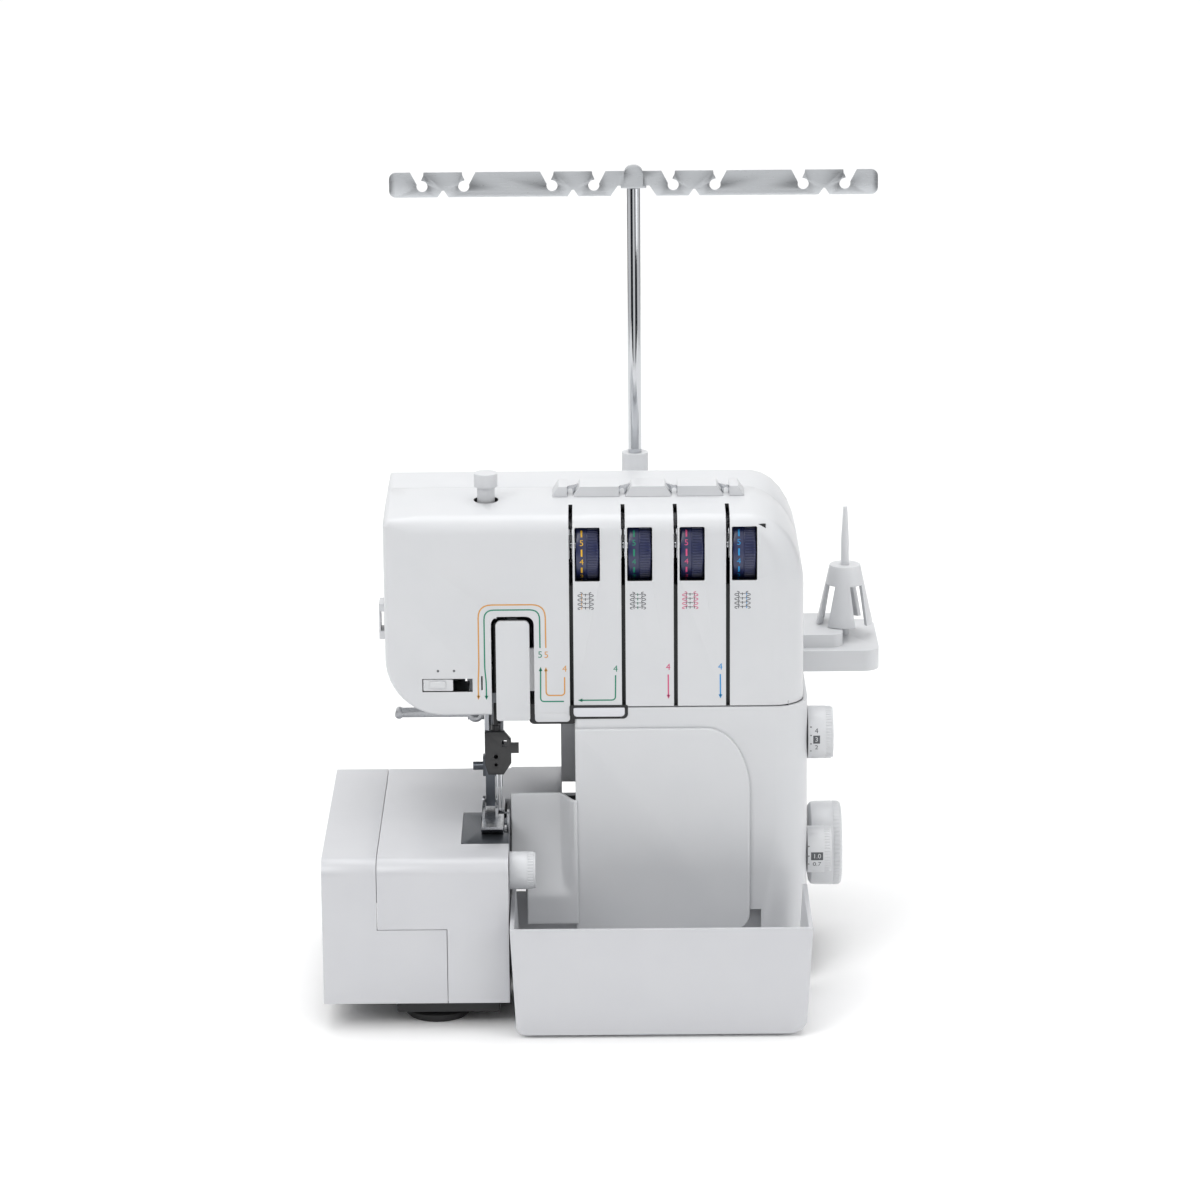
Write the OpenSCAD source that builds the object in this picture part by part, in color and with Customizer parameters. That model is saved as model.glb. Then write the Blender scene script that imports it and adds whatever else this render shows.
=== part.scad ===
// Household overlock sewing machine (serger), four threads, telescopic thread stand.
// Millimetres. X runs to the operator's right, Y away from the operator, Z up from the table.
// The origin is on the table, at the middle of the overall width and depth.

/* [Body] */
// Length of the sewing bed, from its free end to the needle plate's right edge
bed_len = 108; // [96:1:130]
// Height of the bed's top above the table
bed_h = 103; // [95:1:125]
// Width of the trimmings chute between the bed and the body
chute_w = 39; // [32:1:47]
// Width of the body to the right of the chute
body_w = 134.8; // [120:0.1:165]
// Free height between the bed and the arm
throat_h = 67; // [58:1:82]
// Height of the arm, from its underside to its top
arm_h = 122; // [112:1:146]
// How far the arm reaches left of the needle plate's right edge
arm_reach = 71.7; // [66:0.1:88]
// Wall thickness of the plastic mouldings
wall = 2.5; // [2:0.1:3]
// Y of the body's front face
front_y = -55; // [-60:1:-54]
// Y of the body's back
rear_y = 60; // [58:1:72]
// Y of the seam between the front and the rear mouldings
seam_y = 8; // [6:1:12]

/* [Bed] */
// Y of the bed's front face
bed_front_y = -123; // [-130:1:-120]
// Y of the bed's back face
bed_back_y = 56; // [52:1:57]
// Height of the casings' lower edge above the table
skirt_z = 16; // [15:1:18]
// Length of the removable extension table on the bed's top
table_len = 31.6; // [26:0.1:38]
// Height of the extension table's front skirt
table_skirt_z = 61; // [52:1:66]
// Length of the extension table's front skirt
table_skirt_len = 72; // [60:1:80]
// Needle plate, left to right
plate_w = 28; // [26:1:33]
// Needle plate, front to back
plate_d = 59; // [55:1:62]
// Needle plate thickness
plate_t = 2.5; // [2:0.1:3]

/* [Waste tray] */
// Height of the tray's rim above the table
tray_h = 66.5; // [56:0.5:70]
// Y of the tray's front
tray_front_y = -140; // [-150:1:-136]
// Y of the tray's open back
tray_back_y = -62; // [-64:1:-60]
// Gap between the tray and the table top
tray_lift = 2; // [1.5:0.1:3]
// How far each side leans out from bottom to rim
tray_draft = 3; // [2:0.5:4]

/* [Drive] */
// Diameter of the main shaft and the arm shaft
shaft_d = 8; // [6.7:0.1:9.6]
// Diameter of the needle bar
needle_bar_d = 6; // [5:0.1:7.2]
// Diameter of the presser bar
presser_bar_d = 6; // [5:0.1:7.2]
// Radial clearance of a running fit
run_clear = 0.05; // [0.02:0.01:0.1]
// Diameter of the handwheel
handwheel_d = 51; // [46:1:56]
// Y of the main shaft
shaft_y = 16; // [14:1:20]
// Height of the main shaft
shaft_z = 66; // [62:1:70]
// Pitch diameter of the pulley on the main shaft
pulley_d = 40; // [36:1:42]
// Pitch diameter of the motor pulley
motor_pulley_d = 14; // [12:1:17]

/* [Thread tension] */
// Distance from one thread slit to the next
tension_pitch = 30.5; // [29:0.5:32]
// Width of a thread slit
slit_w = 2.3; // [1.8:0.1:2.6]
// Diameter of a tension dial
tension_dial_d = 42; // [36:1:43]
// Width of a tension dial
tension_dial_w = 13.5; // [11:0.5:14]
// Height of a dial window
window_h = 32; // [28:1:34]
// Diameter of the tension spindles
spindle_d = 5; // [4.2:0.1:6]

/* [Side dials] */
// Diameter of the stitch length dial
length_dial_d = 31.5; // [26:0.5:36]
// Diameter of the differential feed dial
diff_dial_d = 28; // [24:0.5:32]
// Diameter of the stitch width dial
width_dial_d = 22; // [18:0.5:24]
// How far the stitch length dial stands out
length_dial_w = 15; // [12:0.5:16]
// How far the differential feed dial stands out
diff_dial_w = 14.5; // [12:0.5:16]
// How far the stitch width dial stands out
width_dial_w = 15; // [12:0.5:16]

/* [Thread stand] */
// Y of the mast
mast_y = 85; // [84:1:90]
// Diameter of the mast's sliding rod
rod_d = 8; // [6.7:0.1:9.6]
// Height of the rod's top with the mast pulled up
rod_top_z = 458; // [440:1:470]
// Length of the rod
rod_len = 180; // [160:1:190]
// Length of the thread guide bar
bar_len = 292.6; // [250:0.1:296]
// Height of the thread guide bar
bar_h = 15; // [14:0.5:18]
// Thickness of the thread guide bar
bar_t = 1.5; // [1.2:0.1:2]
// Length of the spool stand
stand_len = 298.8; // [290:0.1:320]
// Y of the spool stand's back
stand_back_y = 140; // [134:1:150]
// Height of the spool stand's underside
stand_z = 159; // [150:1:165]
// Distance of the outer spool pins from the mast
outer_pin_x = 129.6; // [124:0.1:132]
// Distance of the inner spool pins from the mast
inner_pin_x = 49.5; // [45:0.1:60]
// Diameter of a spool pin
spool_pin_d = 5; // [4.2:0.1:6]

/* [Hidden] */

$fn = 48;
// Gap between two pieces that pass each other
gap = 0.5;
// A cut runs this far past the face it opens
over = 1;
// Parting line between two mouldings
seam = 0.4;

// Main X and Z places
bed_x0 = -166.8;
bed_x1 = bed_x0 + bed_len;
table_x1 = bed_x0 + table_len;
col_x0 = bed_x1 + chute_w;
body_x1 = col_x0 + body_w;
arm_x0 = bed_x1 - arm_reach;
arm_z0 = bed_h + throat_h;
top_z = arm_z0 + arm_h;
arm_r = 34;
shoulder = [35, 48];
// The body's side walls below the arm stand out a little on the right, and the back of the column on the left
side_x1 = body_x1 + 2.6;
col_back_x0 = col_x0 - 9;
lower_top_z = arm_z0 + 4;

// Needle and presser places
needle_x = bed_x1 - 6.2;
needle_y = -40;
presser_x = bed_x1 - 12.2;
presser_y = -20;
threader_x = bed_x1 - 7.7;
threader_y = -47.5;
// Rest height of the needle clamp's underside
clamp_z = bed_h + 33;
// Heights of the head's two lugs
lug_low_z = arm_z0 + 6;
lug_high_z = top_z - 30;
lug_t = 6;
// Height and Y of the arm shaft, and the rocker's reach to the needle bar
arm_shaft_y = -4;
arm_shaft_z = arm_z0 + 60;
// Foot hinge
foot_pin_y = presser_y - 12;
foot_pin_z = bed_h + 7;
foot_sole_z = bed_h + 0.3;
foot_x0 = bed_x1 - 16.4;

// Tension units
slit_x = [for (i = [0:3]) bed_x1 + 37.4 + i * tension_pitch];
dial_y = front_y - 0.6 + tension_dial_d / 2;
dial_z = top_z - 25;
dial_from_slit = 2.9;

// Mast
mast_x = bed_x1 + 76.3;
stand_top_z = stand_z + 13;
stand_front_y = 68;
sleeve_top_z = top_z + 2.5;
bar_z0 = rod_top_z - 4.5;
pin_x = [for (s = [-outer_pin_x, -inner_pin_x, inner_pin_x, outer_pin_x]) mast_x + s];
pin_y = 105;

// Looper cover: hinge line and outline
cover_pin_y = front_y + 4;
cover_hinge_z = 44;
cover_t = 2.3;
cover_x1 = col_x0 + 102.8;
cover_slide = 6;
cover_top_z = arm_z0 - 8.5;
cover_low_z = 36;
chute_top_z = bed_h + 15;

// Belt line
pulley_x = body_x1 - 22;
motor_y = 17;
motor_z = 128;

// Points of an arc round c, with radii r, from angle a0 to a1
function arc(c, r, a0, a1, n = 8) = [for (i = [0:n]) let (a = a0 + (a1 - a0) * i / n)
    [c[0] + r[0] * cos(a), c[1] + r[1] * sin(a)]];
// One corner of an outline: an arc, or a sharp point where the radius is 0
function corner(p, r, sx, sy, a0) = r[0] <= 0 ? [p]
    : arc([p[0] - sx * r[0], p[1] - sy * r[1]], r, a0, a0 + 90);
// Rectangle with a radius pair at each corner: low left, low right, top right, top left
function rounded(x0, y0, x1, y1, r) = concat(
    corner([x0, y0], r[0], -1, -1, 180), corner([x1, y0], r[1], 1, -1, 270),
    corner([x1, y1], r[2], 1, 1, 0), corner([x0, y1], r[3], -1, 1, 90));
function inset(r, d) = [for (p = r) [max(p[0] - d, 0), max(p[1] - d, 0)]];
function same(r) = [[r, r], [r, r], [r, r], [r, r]];

module box(x0, y0, z0, x1, y1, z1) {
    translate([x0, y0, z0]) cube([x1 - x0, y1 - y0, z1 - z0]);
}
// A drawing in X and Z, pushed from y0 to y1
module along_y(y0, y1) {
    translate([0, y1, 0]) rotate([90, 0, 0]) linear_extrude(y1 - y0) children();
}
// A drawing in Y and Z, pushed from x0 to x1
module along_x(x0, x1) {
    translate([x0, 0, 0]) rotate([90, 0, 90]) linear_extrude(x1 - x0) children();
}
module along_z(z0, z1) {
    translate([0, 0, z0]) linear_extrude(z1 - z0) children();
}
module rod_x(x0, x1, y, z, d) {
    translate([x0, y, z]) rotate([0, 90, 0]) cylinder(h = x1 - x0, d = d);
}
module rod_y(y0, y1, x, z, d) {
    translate([x, y0, z]) rotate([-90, 0, 0]) cylinder(h = y1 - y0, d = d);
}
module rod_z(z0, z1, x, y, d) {
    translate([x, y, z0]) cylinder(h = z1 - z0, d = d);
}

// ---- Mouldings ----
// Front view of the arm, d inside its outer face
module arm_face(d = 0) {
    polygon(rounded(arm_x0 + d, arm_z0 + d, body_x1 - d, top_z - d,
        inset([[arm_r, arm_r], [0, 0], shoulder, [4, 4]], d)));
}
// Side view of the arm, d inside its outer face
module arm_side(d = 0) {
    polygon(rounded(front_y + d, arm_z0 - 9 + d, rear_y - d, top_z - d,
        inset([[0, 0], [0, 0], [14, 14], [10, 10]], d)));
}
module arm_solid(d, y0, y1) {
    intersection() {
        along_y(y0, y1) arm_face(d);
        along_x(arm_x0, body_x1) arm_side(d);
    }
}
// Plan of the lower body, d inside its outer face
module body_plan(d = 0) {
    polygon(rounded(col_x0 + d, front_y + d, side_x1 - d, rear_y - d,
        inset([[3, 3], [22, 14], [20, 20], [2, 2]], d)));
}

module base_pan() {
    color("#1d1d20") {
        box(arm_x0 + 6, bed_front_y + 7, 8, bed_x1 - 6, bed_back_y, 15);
        box(bed_x1 - 6, front_y + 8, 8, body_x1 - 4, rear_y - 6, 15);
    }
}

foot_xy = [[arm_x0 + 29, bed_front_y + 29], [arm_x0 + 29, bed_back_y - 24],
    [body_x1 - 28, rear_y - 28], [body_x1 - 28, front_y + 30]];
module rubber_feet() {
    color("#151517") for (p = foot_xy) translate([p[0], p[1], 0]) rotate_extrude()
        polygon([[0, 0], [17.5, 0], [19.3, 2], [19.3, 4.5], [14, 8], [0, 8]]);
}

// Upright plate that carries a shaft along X
module bearing_wall(x, y0, y1, z0, z1, sy, sz, d) {
    difference() {
        box(x, y0, z0, x + 6, y1, z1);
        rod_x(x - over, x + 6 + over, sy, sz, d + 2 * run_clear);
    }
}
// Shelf of the head that guides the upright bars
module head_lug(z0) {
    difference() {
        box(presser_x - 9, front_y + 5.5, z0, needle_x + 9, 38, z0 + lug_t);
        rod_z(z0 - over, z0 + lug_t + over, needle_x, needle_y, needle_bar_d + 2 * run_clear);
        rod_z(z0 - over, z0 + lug_t + over, presser_x, presser_y, presser_bar_d + 2 * run_clear);
    }
}
module main_frame() {
    color("#8d9095") {
        box(arm_x0 + 8, bed_front_y + 20, 15, bed_x1 - 6, bed_back_y - 12, 20);
        box(bed_x1 - 6, front_y + 12, 15, body_x1 - 6, 44, 20);
        bearing_wall(bed_x1 + 8, 2, 38, 20, 86, shaft_y, shaft_z, shaft_d);
        bearing_wall(col_x0 + 8, 2, 38, 20, 90, shaft_y, shaft_z, shaft_d);
        // Right wall and long wall, cut out round the sockets
        difference() {
            union() {
                bearing_wall(body_x1 - 12, 2, 38, 20, 90, shaft_y, shaft_z, shaft_d);
                box(bed_x1 + 8, 38, 20, body_x1 - 6, 44, 90);
            }
            box(side_x1 - 17, 22, 20 - over, side_x1, 47, 37);
            rod_x(side_x1 - 15, side_x1, 14, 28, 10);
        }
        box(col_x0 + 16, 38, 90, body_x1 - 40, 44, top_z - 20);
        box(arm_x0 + 22, 38, arm_z0 + 6, col_x0 + 16, 44, top_z - 20);
        difference() {
            head_lug(lug_low_z);
            rod_z(lug_low_z - over, lug_low_z + lug_t + over, threader_x, threader_y, 2.6 + 2 * run_clear);
        }
        head_lug(lug_high_z);
        bearing_wall(needle_x + 16, -10, 38, arm_shaft_z - 9, arm_shaft_z + 8, arm_shaft_y, arm_shaft_z, shaft_d);
        bearing_wall(col_x0 + 44, -10, 38, arm_shaft_z - 9, arm_shaft_z + 8, arm_shaft_y, arm_shaft_z, shaft_d);
        // Block that carries both looper shafts
        difference() {
            box(bed_x1 + 9, -14, 20, bed_x1 + 38, -8, 60);
            for (p = [lower_looper_at, upper_looper_at]) rod_y(-15, -7, p[0], p[1], 7 + 2 * run_clear);
        }
        // Ears in which the cover's pin slides
        for (x = [col_x0 + 40, col_x0 + 60]) difference() {
            union() {
                rod_x(x, x + 6, cover_pin_y, cover_hinge_z, 6.4);
                box(x, cover_pin_y, cover_hinge_z - 3.2, x + 6, front_y + 21, cover_hinge_z + 3.2);
                box(x, front_y + 20, 20, x + 6, front_y + 26, cover_hinge_z + 4);
            }
            rod_x(x - over, x + 6 + over, cover_pin_y, cover_hinge_z, 3 + 2 * run_clear);
        }
        // Pivot post of the presser lifter
        box(presser_x - 14, 22, arm_z0 - 26, presser_x - 4, 38, arm_z0 + 6);
        box(presser_x - 14, 38, arm_z0 - 26, presser_x - 4, 44, arm_z0 + 6);
        rod_y(10, 23, lifter_at[0], lifter_at[1], 4);
    }
}

module rear_casing() {
    color("#e6e7e8") difference() {
        union() {
            arm_solid(0, seam_y + seam, rear_y);
            intersection() {
                along_z(skirt_z, arm_z0 + 20) body_plan();
                box(col_x0, seam_y + seam, skirt_z, side_x1, rear_y, lower_top_z);
            }
            box(col_back_x0, 24, bed_h + seam, col_x0 + 6, rear_y - 2, arm_z0 + 2);
        }
        difference() {
            arm_solid(wall, seam_y - over, rear_y);
            box(arm_x0, seam_y, arm_z0 - 20, col_x0, rear_y, arm_z0 + wall);
        }
        intersection() {
            along_z(skirt_z - over, arm_z0 + 30) body_plan(wall);
            box(col_x0 - over, seam_y - over, skirt_z - over, side_x1, rear_y, arm_z0 + wall + over);
        }
        box(col_back_x0 + wall, 24 + wall, bed_h - over, col_x0 + 7, rear_y - 2 - wall, arm_z0 - 1);
        // Left side is open where the bed runs into the body
        box(col_x0 - over, seam_y - over, skirt_z - over, col_x0 + wall + over, rear_y - 12, bed_h + seam);
        rod_x(body_x1 - 6, side_x1 + 6, shaft_y, shaft_z, 16);
        box(side_x1 - 8, 22.5, 19.5, side_x1 + over, 46.5, 36.5);
        rod_x(side_x1 - 8, side_x1 + over, 14, 28, 10);
        box(side_x1 - 5, 30, 99, side_x1 + over, 42, 121);
        // Slot for the presser lifter and the opening for the spring box behind the head
        box(presser_x - 15, seam_y - over, arm_z0 - 20, presser_x - 3, 46, arm_z0 + wall + over);
    }
}

module dial_window(i) {
    x0 = slit_x[i] + dial_from_slit - gap;
    box(x0, front_y - over, dial_z - window_h / 2, x0 + tension_dial_w + 2 * gap, front_y + 12, dial_z + window_h / 2);
}
// Slot between the head's face and the thread panel, open at the bottom
slot_x0 = bed_x1 - 9.6;
slot_x1 = bed_x1 + 15.5;
slot_top_z = top_z - 62;
slot_w = 2.7;
module arm_casing() {
    color("#eceded") difference() {
        union() {
            arm_solid(0, front_y, seam_y);
            // The strip between the thread panel and the first slit reaches a little lower
            box(slot_x1, front_y, arm_z0 - 4.5, slit_x[0] - slit_w / 2, front_y + wall, arm_z0 + 8);
        }
        arm_solid(wall, front_y - over, seam_y + over);
        for (i = [0:3]) {
            box(slit_x[i] - slit_w / 2, front_y - over, arm_z0 + (i == 0 ? -9 : 5), slit_x[i] + slit_w / 2,
                front_y + 25, top_z + over);
            dial_window(i);
        }
        along_y(front_y - over, front_y + wall + over) polygon(rounded(slot_x0, arm_z0 - over - 9, slot_x1,
            slot_top_z, [[0, 0], [0, 0], [5, 5], [5, 5]]));
        // Needle selector window
        box(arm_x0 + 21.5, front_y - over, arm_z0 + 14.5, arm_x0 + 51, front_y + wall + over, arm_z0 + 22.5);
        // Holes of the pressure knob and of the bars under the head
        rod_z(top_z - wall - over, top_z + over, presser_x, presser_y, 14.4);
        box(presser_x - 12, front_y + wall - 0.1, arm_z0 - 12, needle_x + 9, seam_y + over, arm_z0 + wall + over);
        // The lower casing reaches up to the seam on the right
        box(slit_x[0] + slit_w / 2, front_y - over, arm_z0 - 9, body_x1 + over, seam_y + over, lower_top_z + seam);
        // The body below opens into the arm
        box(col_x0 + wall, front_y + wall, arm_z0 - 12, body_x1 - wall, seam_y + over, arm_z0 + wall + over);
    }
}

module lower_casing() {
    color("#eceded") difference() {
        intersection() {
            along_z(skirt_z, lower_top_z) body_plan();
            box(col_x0, front_y, skirt_z, side_x1, seam_y, lower_top_z);
        }
        intersection() {
            along_z(skirt_z - over, lower_top_z + over) body_plan(wall);
            box(col_x0, front_y, skirt_z - over, side_x1, seam_y + over, lower_top_z + over);
        }
        // Looper opening behind the cover, and room for the cover's lower edge to swing in
        along_y(front_y - over, front_y + 8) polygon(rounded(col_x0 - over, cover_low_z - 6, cover_x1 - 7,
            cover_top_z - 7, [[0, 0], [8, 8], [26, 39], [0, 0]]));
        box(col_x0 - over, front_y - over, cover_low_z - 6, cover_x1 + cover_slide + 0.8, front_y + 8,
            cover_low_z + 12);
        // Shafts of the side dials
        rod_x(body_x1 - 8, side_x1 + over, length_dial_y, length_dial_z, shaft_d + 2 * run_clear);
        rod_x(body_x1 - 8, side_x1 + over, diff_dial_y, diff_dial_z, shaft_d + 2 * run_clear);
        box(col_x0 - over, front_y - over, skirt_z - over, col_x0 + wall + over, seam_y + over, chute_top_z + 1);
    }
}

// Front of the bed's part that runs on to the column, behind the loopers
saddle_y = -8;
module table_top(d = 0) {
    polygon(rounded(bed_front_y + d, skirt_z + (d > 0 ? -over : 0), bed_back_y - d, bed_h - d,
        inset([[0, 0], [0, 0], [3, 3], [10, 10]], d)));
}
module bed_casing() {
    color("#eceded") difference() {
        union() {
            along_x(table_x1 + seam, bed_x1) table_top();
            box(bed_x1 - over, saddle_y, 60, col_back_x0, bed_back_y, bed_h);
        }
        along_x(table_x1 + seam + wall, bed_x1 - wall) table_top(wall);
        box(bed_x1 - wall - over, saddle_y + wall, 60 - over, col_back_x0 + over, bed_back_y - wall, bed_h - wall);
        // Recess of the needle plate, open below
        box(bed_x1 - plate_w, front_y - 37, bed_h - plate_t, bed_x1 + over, front_y - 37 + plate_d, bed_h + over);
        box(bed_x1 - plate_w + 3, front_y - 34, bed_h - 8, bed_x1 + over, front_y - 40 + plate_d, bed_h);
        // Looper bay opens into the bed on the right
        box(bed_x1 - wall - over, front_y - 25, 30, bed_x1 + over, saddle_y + over, bed_h + over);
        box(bed_x1 - wall - over, saddle_y + wall, 20, bed_x1 + over, bed_back_y - wall, bed_h - wall);
        // Slot through which the frame's plate runs into the body
        box(bed_x1 - wall - over, front_y + 12 - gap, skirt_z - over, bed_x1 + over, 44 + gap, 20 + gap);
        // The skirt of the extension table sits in this step
        box(table_x1 - over, bed_front_y - over, skirt_z - over, bed_x0 + table_skirt_len + seam,
            bed_front_y + wall + 1, table_skirt_z + seam);
        // Hole of the stitch width shaft
        rod_x(bed_x1 - wall - over, bed_x1 + over, width_dial_y, width_dial_z, shaft_d + 2 * run_clear);
    }
    // Wall behind the step
    color("#eceded") box(table_x1 + seam, bed_front_y + wall + 1, skirt_z, bed_x0 + table_skirt_len + 4,
        bed_front_y + 2 * wall + 1, table_skirt_z + 3);
}

// Panel inside the thread slot, with the needle bar behind it
module thread_panel() {
    color("#eceded") along_y(front_y, front_y + wall) polygon(rounded(slot_x0 + slot_w, arm_z0 - 3.5,
        slot_x1 - slot_w, slot_top_z - slot_w, [[1.5, 1.5], [1.5, 1.5], [3, 3], [3, 3]]));
    color("#222326") box(slot_x1 - slot_w - 8, front_y + wall, arm_z0 + 14, slot_x1 + 6, front_y + wall + 2, arm_z0 + 40);
}

module slot_liner() {
    color("#17181a") difference() {
        box(slot_x1 + 6.5, front_y + wall + 0.3, arm_z0 + 5, slit_x[3] + 22, front_y + wall + 1.8, top_z - 8);
        for (i = [0:3]) {
            x0 = slit_x[i] + dial_from_slit - gap;
            box(slit_x[i] - slit_w / 2 - gap, front_y, dial_z - window_h / 2 - 3, x0 + tension_dial_w + 2 * gap, front_y + 9,
                dial_z + window_h / 2 + 3);
        }
    }
}

// Ridge on top that guides the four threads into their slits
module guide_caps() {
    h = 6;
    foot = 1.6;
    run = 4;
    z = top_z;
    // Each cap is cut upright on one side of a slit and slants on the side that carries the hook
    caps = [
        [slit_x[0] - 10.8, slit_x[0] - 7, slit_x[0] - 2, slit_x[0] - 2],
        [slit_x[0] + foot, slit_x[0] + foot + run, slit_x[1] - 2, slit_x[1] - 2],
        [slit_x[1] + foot, slit_x[1] + foot + run, slit_x[2] - foot - run, slit_x[2] - foot],
        [slit_x[2] + 2, slit_x[2] + 2, slit_x[3] - foot - run, slit_x[3] - foot],
        [slit_x[3] + 2, slit_x[3] + 2, slit_x[3] + 7, slit_x[3] + 10.8]];
    color("#eceded") difference() {
        for (c = caps) along_y(-16, 4) polygon([[c[0], z], [c[3], z], [c[2], z + h], [c[1], z + h]]);
        // Room for the thread hooks
        for (x = slit_x) rod_y(-9.5, -7.1, x, z + 2.3, 6.2);
    }
}
// Wire-like hook over each slit, on the slanted side of its cap
module top_hooks() {
    color("#b9bcc0") for (i = [0:3]) translate([slit_x[i], 0, top_z]) mirror([i < 2 ? 0 : 1, 0, 0])
        along_y(-9, -7.6) difference() {
            union() {
                translate([0, 2.3]) circle(d = 5.4, $fn = 32);
                polygon([[-0.4, 4.9], [5, 6.2], [3, 3.2], [1.4, 1.2]]);
            }
            translate([-0.1, 2]) circle(d = 2.8, $fn = 32);
            translate([-1.4, -1]) square([2.6, 2.6]);
        }
}

// ---- Thread tension ----
module tension_bracket() {
    color("#9a9da2") difference() {
        union() {
            box(slit_x[0] - 8, dial_y + tension_dial_d / 2 + 1.5, dial_z - 16, slit_x[3] + 24,
                dial_y + tension_dial_d / 2 + 3.5, dial_z + 14);
            for (x = slit_x, dx = [-7, 18.5]) box(x + dx, dial_y - 5, dial_z - 6, x + dx + 2,
                dial_y + tension_dial_d / 2 + 2, dial_z + 6);
            // Feet on the frame's arm
            for (x = [col_x0 + 22, body_x1 - 52]) box(x, dial_y + tension_dial_d / 2 + 3, dial_z - 14, x + 10, 38, dial_z - 8);
        }
        rod_x(slit_x[0] - 9, slit_x[3] + 25, dial_y, dial_z, spindle_d);
    }
}
module tension_spindles() {
    color("#c8cbcf") for (x = slit_x) rod_x(x - 8, x + 21.5, dial_y, dial_z, spindle_d);
}
module tension_discs() {
    color("#c8cbcf") for (x = slit_x, dx = [-1.4, 0.6]) difference() {
        rod_x(x + dx, x + dx + 0.8, dial_y, dial_z, 24);
        rod_x(x + dx - over, x + dx + 0.8 + over, dial_y, dial_z, spindle_d);
    }
}
// Toothed thumbwheel on a spindle along X, smooth in its left third and ribbed on the right
module tension_dial(i) {
    x0 = slit_x[i] + dial_from_slit;
    color("#2e3360") difference() {
        union() {
            rod_x(x0, x0 + tension_dial_w * 0.45, dial_y, dial_z, tension_dial_d - 1);
            rod_x(x0 + tension_dial_w * 0.45, x0 + tension_dial_w, dial_y, dial_z, tension_dial_d);
        }
        for (a = [0:12:348]) translate([0, dial_y, dial_z]) rotate([a, 0, 0])
            box(x0 + tension_dial_w * 0.55, tension_dial_d / 2 - 1, -0.8, x0 + tension_dial_w + over,
                tension_dial_d / 2 + over, 0.8);
        rod_x(x0 - over, x0 + tension_dial_w + over, dial_y, dial_z, spindle_d + 2 * run_clear);
    }
}

// ---- Bed fittings ----
module needle_plate() {
    x0 = bed_x1 - plate_w + seam / 2;
    y0 = front_y - 37 + seam / 2;
    color("#5d6066") difference() {
        along_z(bed_h - plate_t, bed_h) polygon(rounded(x0, y0, bed_x1, y0 + plate_d - seam, [[3, 3], [0, 0], [0, 0], [3, 3]]));
        box(needle_x - 1.6, needle_y - 4, bed_h - 4, needle_x + 4, needle_y + 4, bed_h + over);
        for (x = dog_x) box(x - 0.6, needle_y - 26, bed_h - 4, x + 2.6, needle_y - 1, bed_h + over);
        box(bed_x1 - 3.4, front_y - 17, bed_h - 4, bed_x1 + over, front_y + 1, bed_h + over);
    }
}
knife_y = front_y - 12;
module lower_knife() {
    color("#b4b7bb") {
        box(bed_x1 - 3.1, knife_y, bed_h - 18, bed_x1 - 1.8, knife_y + 10, bed_h);
        box(bed_x1 - 12, knife_y, bed_h - 26, bed_x1 - 1.8, knife_y + 10, bed_h - 18);
        box(bed_x1 - 12, knife_y, 20, bed_x1 - 8, knife_y + 10, bed_h - 26);
    }
}
module lamp_lens() {
    color("#dfe8ee") box(arm_x0 + 28, front_y + 12, arm_z0 - 2.5, presser_x - 13, 6, arm_z0);
}
module inlet_socket() {
    color("#1b1b1e") difference() {
        box(side_x1 - 16, 23, 20, side_x1 + 0.6, 46, 36);
        box(side_x1 - 10, 25.5, 22.5, side_x1 + over, 43.5, 33.5);
    }
    color("#c8cbcf") for (y = [30, 34.5, 39]) rod_x(side_x1 - 10.2, side_x1 - 3, y, 28, 2.2);
    // Jack of the foot control
    color("#1b1b1e") difference() {
        rod_x(side_x1 - 14, side_x1, 14, 28, 9);
        rod_x(side_x1 - 12, side_x1 + over, 14, 28, 5);
    }
}
module thread_cutter() {
    color("#e6e7e8") difference() {
        box(arm_x0 - 5, -17, arm_z0 + 36, arm_x0, -3, arm_z0 + 58);
        box(arm_x0 - 4, -18, arm_z0 + 41, arm_x0 - 2, -2, arm_z0 + 53);
    }
}
module casing_screws() {
    color("#b9bcc0") for (p = [[arm_x0 + 30, arm_z0 + 40], [arm_x0 + 30, top_z - 30], [body_x1 - 40, top_z - 60],
        [body_x1 - 20, 40], [col_x0 + 20, 40], [col_x0 + 20, arm_z0 - 30]])
        difference() {
            rod_y(rear_y, rear_y + 1.4, p[0], p[1], 7);
            box(p[0] - 3, rear_y + 0.9, p[1] - 0.5, p[0] + 3, rear_y + 2, p[1] + 0.5);
        }
}

// ---- Thread stand ----
module spool_stand() {
    x0 = mast_x - stand_len / 2;
    x1 = mast_x + stand_len / 2;
    color("#e6e7e8") difference() {
        union() {
            along_z(stand_z, stand_top_z) polygon(rounded(x0, stand_front_y, x1, stand_back_y, same(10)));
            along_z(stand_top_z, stand_top_z + 8) polygon(rounded(x0 + 22, stand_front_y + 8, x1 - 22, stand_back_y - 14, same(8)));
            for (x = [mast_x - 60, mast_x + 40]) box(x, rear_y, stand_z, x + 20, stand_front_y + 3, stand_top_z);
        }
        for (x = pin_x) rod_z(stand_z + 4, stand_top_z + 9, x, pin_y, spool_pin_d);
        rod_z(stand_z + 4, stand_top_z + 9, mast_x, mast_y, 16);
    }
}
module spool_pins() {
    color("#e6e7e8") for (x = pin_x) {
        rod_z(stand_z + 4, stand_top_z + 60, x, pin_y, spool_pin_d);
        translate([x, pin_y, stand_top_z + 60]) cylinder(h = 22, d1 = spool_pin_d, d2 = 2.6, $fn = 48);
    }
}
cone_z = stand_top_z + 8.3;
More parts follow.
